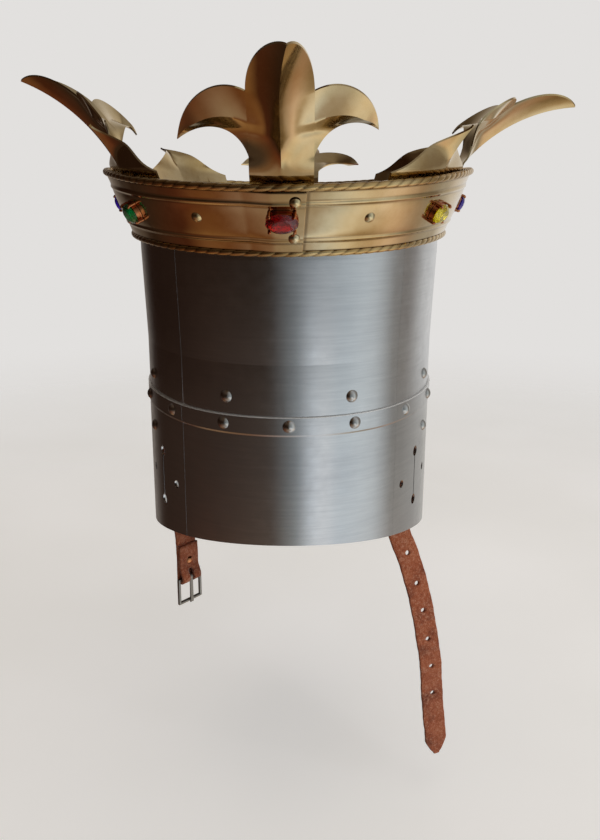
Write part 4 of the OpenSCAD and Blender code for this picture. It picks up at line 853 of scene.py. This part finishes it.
strap_left = make_strap("strap_left_folded", np.concatenate([line, fold_line]),
                        np.concatenate([width, fold_width]), np.full(len(line) + len(fold), strap_w / 2),
                        "strap_left", "left_strap")
# the slot is five rounds that run into each other
slot_r = 2.5
for drop in (5.5, 2.8, 0, -2.8, -5.6):
    cut_round(strap_left, (bar[0], bar[1], bar_z + drop), (math.cos(fold_a), math.sin(fold_a), 0), slot_r,
              depth=14)

# Fold rivet. Copper, closed over the fold of the left strap, and as worn as the settings. It is the
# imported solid.
paint(setting_copper, "fold_rivet")

# Buckle. A frame of bent steel wire and a tongue of steel, both bright from wear, on one bar. They are
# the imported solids.
buckle_steel = brushed_steel("buckle_steel_wire", [(0.3, "77746F"), (0.6, "A5A29C"), (0.8, "B9B6B0")], 0.8,
                             0.25, 0.42)
paint(buckle_steel, "buckle_frame", "buckle_tongue")

# Liner. A band of thin tan leather riveted inside the shell, with eight tongues of the same hide sewn
# to it. They arch up over the head.
liner_leather = flesh_leather("liner_leather_tan", [(0.3, "8F6A45"), (0.5, "B08A60"), (0.72, "C6A47C")],
                              "D9C09C", 3)
plate_gap = 0.1
liner_gap = 0.2
liner_out = -2 * plate_t - 2 * plate_gap - liner_gap
liner_t = 2
liner_low = -103
liner_h = 16
liner_steps = 360
liner_rows = 9
ring = np.linspace(0, 2 * math.pi, liner_steps, endpoint=False)[:, None]
levels = np.linspace(liner_low, liner_low + liner_h, liner_rows)[None, :]
sides = []
for off in (liner_out, liner_out - liner_t):
    x, y = plan_point(ring, off)
    sides.append(np.stack(np.broadcast_arrays(x, y, levels), -1).reshape(-1, 3))
liner_band = make_piece("liner_band_leather", np.concatenate(sides),
                        sheet_faces(liner_steps, liner_rows, ring=True), liner_leather,
                        "liner_band")
round_edges(liner_band, 0.6, 3)

tongue_arcs = (0, 94, 203, 305)
tongue_w = 62
tongue_tip_w = 14
lace_r = 30
tongue_gap = 0.05
tongue_in = liner_out - liner_t - tongue_gap
tongue_tip_r = lace_r - 4
tongue_rows = 40
tongue_cols = 21


def tongue_grid(s, drop):
    """Outer or inner face of a tongue: it leaves the band and arches up to the lace."""
    c = np.linspace(-1, 1, tongue_cols)[None, :]
    q = np.linspace(0, math.pi / 2, tongue_rows)[:, None]
    mirror = -1 if s < 0 else 1
    mid_x, mid_y = plan_point(wall_direction(np.array(abs(s), float)), 0)
    d = unit(np.array([mid_x * mirror, mid_y]))
    arc = abs(s) + c * mirror * tongue_w / 2
    flip = np.where(arc < 0, -1, 1) * np.where(arc > 2 * quarter_arc, -1, 1)
    folded = np.where(arc > 2 * quarter_arc, 4 * quarter_arc - arc, np.abs(arc))
    foot_x, foot_y = plan_point(wall_direction(folded), tongue_in - drop)
    foot = np.stack([foot_x * flip * mirror, foot_y], -1)
    tip = d * (tongue_tip_r - drop / 4) + np.stack([-d[1] * c, d[0] * c], -1) * tongue_tip_w / 2
    flat = foot + (tip - foot) * (1 - np.cos(q))[..., None]
    z = liner_low + (liner_t - drop - liner_low) * np.sin(q) + 0 * c
    return np.concatenate([flat, z[..., None]], -1)


points, faces, start = [], [], 0
for s in tongue_arcs + tuple(-s for s in tongue_arcs[1:]) + (2 * quarter_arc,):
    for drop in (0, liner_t):
        points.append(tongue_grid(s, drop).reshape(-1, 3))
    faces += [tuple(start + i for i in f) for f in sheet_faces(tongue_rows, tongue_cols)]
    start += 2 * tongue_rows * tongue_cols
tongues = make_piece("liner_tongues_hide", np.concatenate(points), faces, liner_leather,
                     "liner_tongues")
round_edges(tongues, 0.5)

# Lace. A closed ring of waxed linen cord, laid from two strands. It lies on the tips of the tongues and
# draws them together.
lace_cord = flesh_leather("lace_linen_waxed", [(0.3, "9C8358"), (0.5, "B79B6A"), (0.7, "CDB487")],
                          "E2D2AC", 0.8)
lace_cord_r = 1.6
lace_steps = 400
lace_sides = 14
lace_turns = 19
q = np.linspace(0, 2 * math.pi, lace_steps, endpoint=False)[:, None]
p = np.linspace(0, 2 * math.pi, lace_sides, endpoint=False)[None, :]
r = lace_cord_r * (0.8 + 0.2 * np.abs(np.sin(lace_turns * q + p)))
lace_z = liner_t + lace_cord_r + 0.1
from_middle = lace_r + r * np.cos(p)
points = np.stack([from_middle * np.cos(q), from_middle * np.sin(q), lace_z + r * np.sin(p)], -1)
make_piece("liner_lace_cord", points.reshape(-1, 3), ring_faces(lace_steps, lace_sides), lace_cord,
           "liner_lace", smooth=None)

# Floor. A plain pale sheet below the straps, with very soft clouds. It fades into the backdrop, so that
# no edge shows, and it keeps the helm's shadow.
floor_z = -0.475
floor_half = 6
floor_lift = 0.5
fade_from = 0.75
fade_to = 2.2
corners = [(x * floor_half, y * floor_half, floor_z) for x, y in ((-1, -1), (1, -1), (1, 1), (-1, 1))]
mesh = bpy.data.meshes.new("floor")
mesh.from_pydata(corners, [], [(0, 1, 2, 3)])
floor = new_object("floor", mesh)
floor_finish = new_finish("floor_pale")
place = add(floor_finish, "TexCoord").outputs["Object"]
soft = add(floor_finish, "TexNoise", {"Vector": place, "Scale": grain_scale(1000 / 3), "Detail": 3})
tone = add(floor_finish, "ValToRGB", {"Fac": soft.outputs["Fac"]}, [(0.3, "DEDCD8"), (0.7, "E4E2DF")])
# only the camera sees it this much paler than the soft light leaves it
seen = add(floor_finish, "LightPath").outputs["Is Camera Ray"]
lift = add(floor_finish, "Math", {0: seen, 1: floor_lift}, operation="MULTIPLY")
sheet = add(floor_finish, "BsdfPrincipled", {"Base Color": tone.outputs["Color"], "Roughness": 0.8,
                                             "Emission Color": tone.outputs["Color"],
                                             "Emission Strength": lift.outputs[0]})
from_helm = add(floor_finish, "VectorMath", {0: place}, operation="LENGTH")
fade = add(floor_finish, "MapRange", {"Value": from_helm.outputs["Value"], "From Min": fade_from,
                                      "From Max": fade_to}, interpolation_type="SMOOTHSTEP")
gone = add(floor_finish, "BsdfTransparent")
mixed = add(floor_finish, "MixShader", {0: fade.outputs[0], 1: sheet.outputs[0], 2: gone.outputs[0]})
add(floor_finish, "OutputMaterial", {"Surface": mixed.outputs[0]})
mesh.materials.append(floor_finish)
floor.visible_glossy = False

# World. A plain studio painted by direction, which lights the helm and shows in its metal: pale to the
# right and behind the helm and dark along the left, in one layer level with the helm, three below and
# one above. The camera sees a plain backdrop instead, also through the stones.
world = bpy.data.worlds.new("studio")
bpy.context.scene.world = world
world.use_nodes = True
world.node_tree.nodes.clear()
way = add(world, "TexCoord").outputs["Generated"]
split = add(world, "SeparateXYZ", {"Vector": way})
toward_camera = add(world, "Math", {0: split.outputs["Y"], 1: -1}, operation="MULTIPLY")
azimuth = add(world, "Math", {0: split.outputs["X"], 1: toward_camera.outputs[0]}, operation="ARCTAN2")
turn_share = add(world, "MapRange", {"Value": azimuth.outputs[0], "From Min": -math.pi, "From Max": math.pi})


def painted_round(stops):
    """A colour by the direction round the studio, in degrees right of the camera."""
    shares = [((a + 180) / 360, colour) for a, colour in stops]
    return add(world, "ValToRGB", {"Fac": turn_share.outputs[0]}, shares).outputs["Color"]


level = painted_round([
    (-180, "C4C0BC"), (-160, "857C75"), (-144, "261811"), (-60, "2D1F17"), (-14, "2E2319"), (10, "868889"),
    (31, "9CA3A6"), (48, "B8BFC2"), (66, "D4DADC"), (80, "CACECE"), (99, "928D87"), (118, "857C74"),
    (134, "D4D2CF"), (150, "E2E0DE"), (180, "E2E0DE")])
just_below = painted_round([
    (-180, "C8C4BE"), (-158, "8A8078"), (-140, "32241C"), (-80, "40322A"), (-14, "4E443E"), (8, "8E9496"),
    (20, "F4FAFF"), (32, "FFFFFF"), (44, "E0E8EC"), (62, "E4EAEC"), (80, "DCE0E0"), (104, "8E8880"),
    (128, "A8A49E"), (180, "D8D4CE")])
low_down = painted_round([
    (-180, "8A7458"), (-131, "4E3024"), (-109, "4E2D22"), (-91, "6D412F"), (-60, "74503C"), (-12, "88705C"),
    (4, "A89880"), (20, "CFC6BC"), (40, "FFFFFF"), (80, "FFF6EA"), (100, "F4E4D8"), (111, "EEDBD1"),
    (126, "BEA18F"), (150, "A08870"), (180, "8A7458")])
underneath = painted_round([
    (-180, "A08468"), (-140, "C09C78"), (-112, "94704E"), (-77, "785037"), (-52, "987F73"), (-20, "A89A90"),
    (10, "B0A8A0"), (37, "BCB6B3"), (58, "DDE6EF"), (79, "FFFFFF"), (98, "C0B09A"), (125, "8E7E66"),
    (180, "A08468")])
overhead = painted_round([
    (-180, "8F8B87"), (-110, "453A32"), (-10, "5A4A3C"), (20, "9A9894"), (70, "BCBEC2"), (120, "8F8B87"),
    (180, "8F8B87")])
# each layer sets in between two heights of the direction, and is full from the second on
studio = level
for layer, from_z, to_z in ((just_below, -0.2, -0.27), (low_down, -0.38, -0.62), (underneath, -0.68, -0.82),
                            (overhead, 0.25, 0.7)):
    share = add(world, "MapRange", {"Value": split.outputs["Z"], "From Min": from_z, "From Max": to_z})
    studio = add(world, "Mix", {"Factor": share.outputs[0], "A": studio, "B": layer},
                 data_type="RGBA").outputs["Result"]
path = add(world, "LightPath")
air = add(world, "Background", {"Color": studio})
back = add(world, "Background", {"Color": linear("E2E0DE")})
seen = add(world, "Math", {0: path.outputs["Is Camera Ray"], 1: path.outputs["Is Transmission Ray"]},
           operation="MAXIMUM")
both = add(world, "MixShader", {0: seen.outputs[0], 1: air.outputs[0], 2: back.outputs[0]})
add(world, "OutputWorld", {"Surface": both.outputs[0]})


# Lamps. A large soft one to the right of the camera and a wider one overhead. Neither is seen by the
# camera or in a reflection: the metal reflects the world, and the lamps only add their soft light.
def make_lamp(name, at, aim, size, power, colour):
    data = bpy.data.lights.new(name, "AREA")
    data.shape = "RECTANGLE"
    data.size, data.size_y = size
    data.energy = power
    data.color = linear(colour)[:3]
    lamp = new_object(name, data)
    lamp.location = at
    lamp.rotation_mode = "QUATERNION"
    lamp.rotation_quaternion = (Vector(aim) - Vector(at)).to_track_quat("-Z", "Y")
    lamp.visible_camera = False
    lamp.visible_glossy = False


make_lamp("soft_right", (1.9, -1.5, 0.6), (0, 0, -0.1), (1.3, 1.9), 20, "F4F6FF")
make_lamp("soft_overhead", (0, -0.4, 2.4), (0, 0, 0), (2.2, 2.2), 16, "FFF6EA")

# Camera. It stands behind the helm, level with the crown, and looks down a little. The picture's middle
# line lies a few pixels beside the helm's axis.
camera_back = 0.701
camera_up = 0.045
look_down = 15.77
photo_h = 840
axis_left_px = 11
camera_data = bpy.data.cameras.new("camera")
camera_data.sensor_width = 36
camera_data.lens = 36.43
camera_data.shift_x = axis_left_px / photo_h
camera = new_object("camera", camera_data)
camera.location = (0, -camera_back, camera_up)
camera.rotation_euler = (math.radians(90 - look_down), 0, 0)
bpy.context.scene.camera = camera
bpy.context.scene.view_settings.view_transform = "Standard"
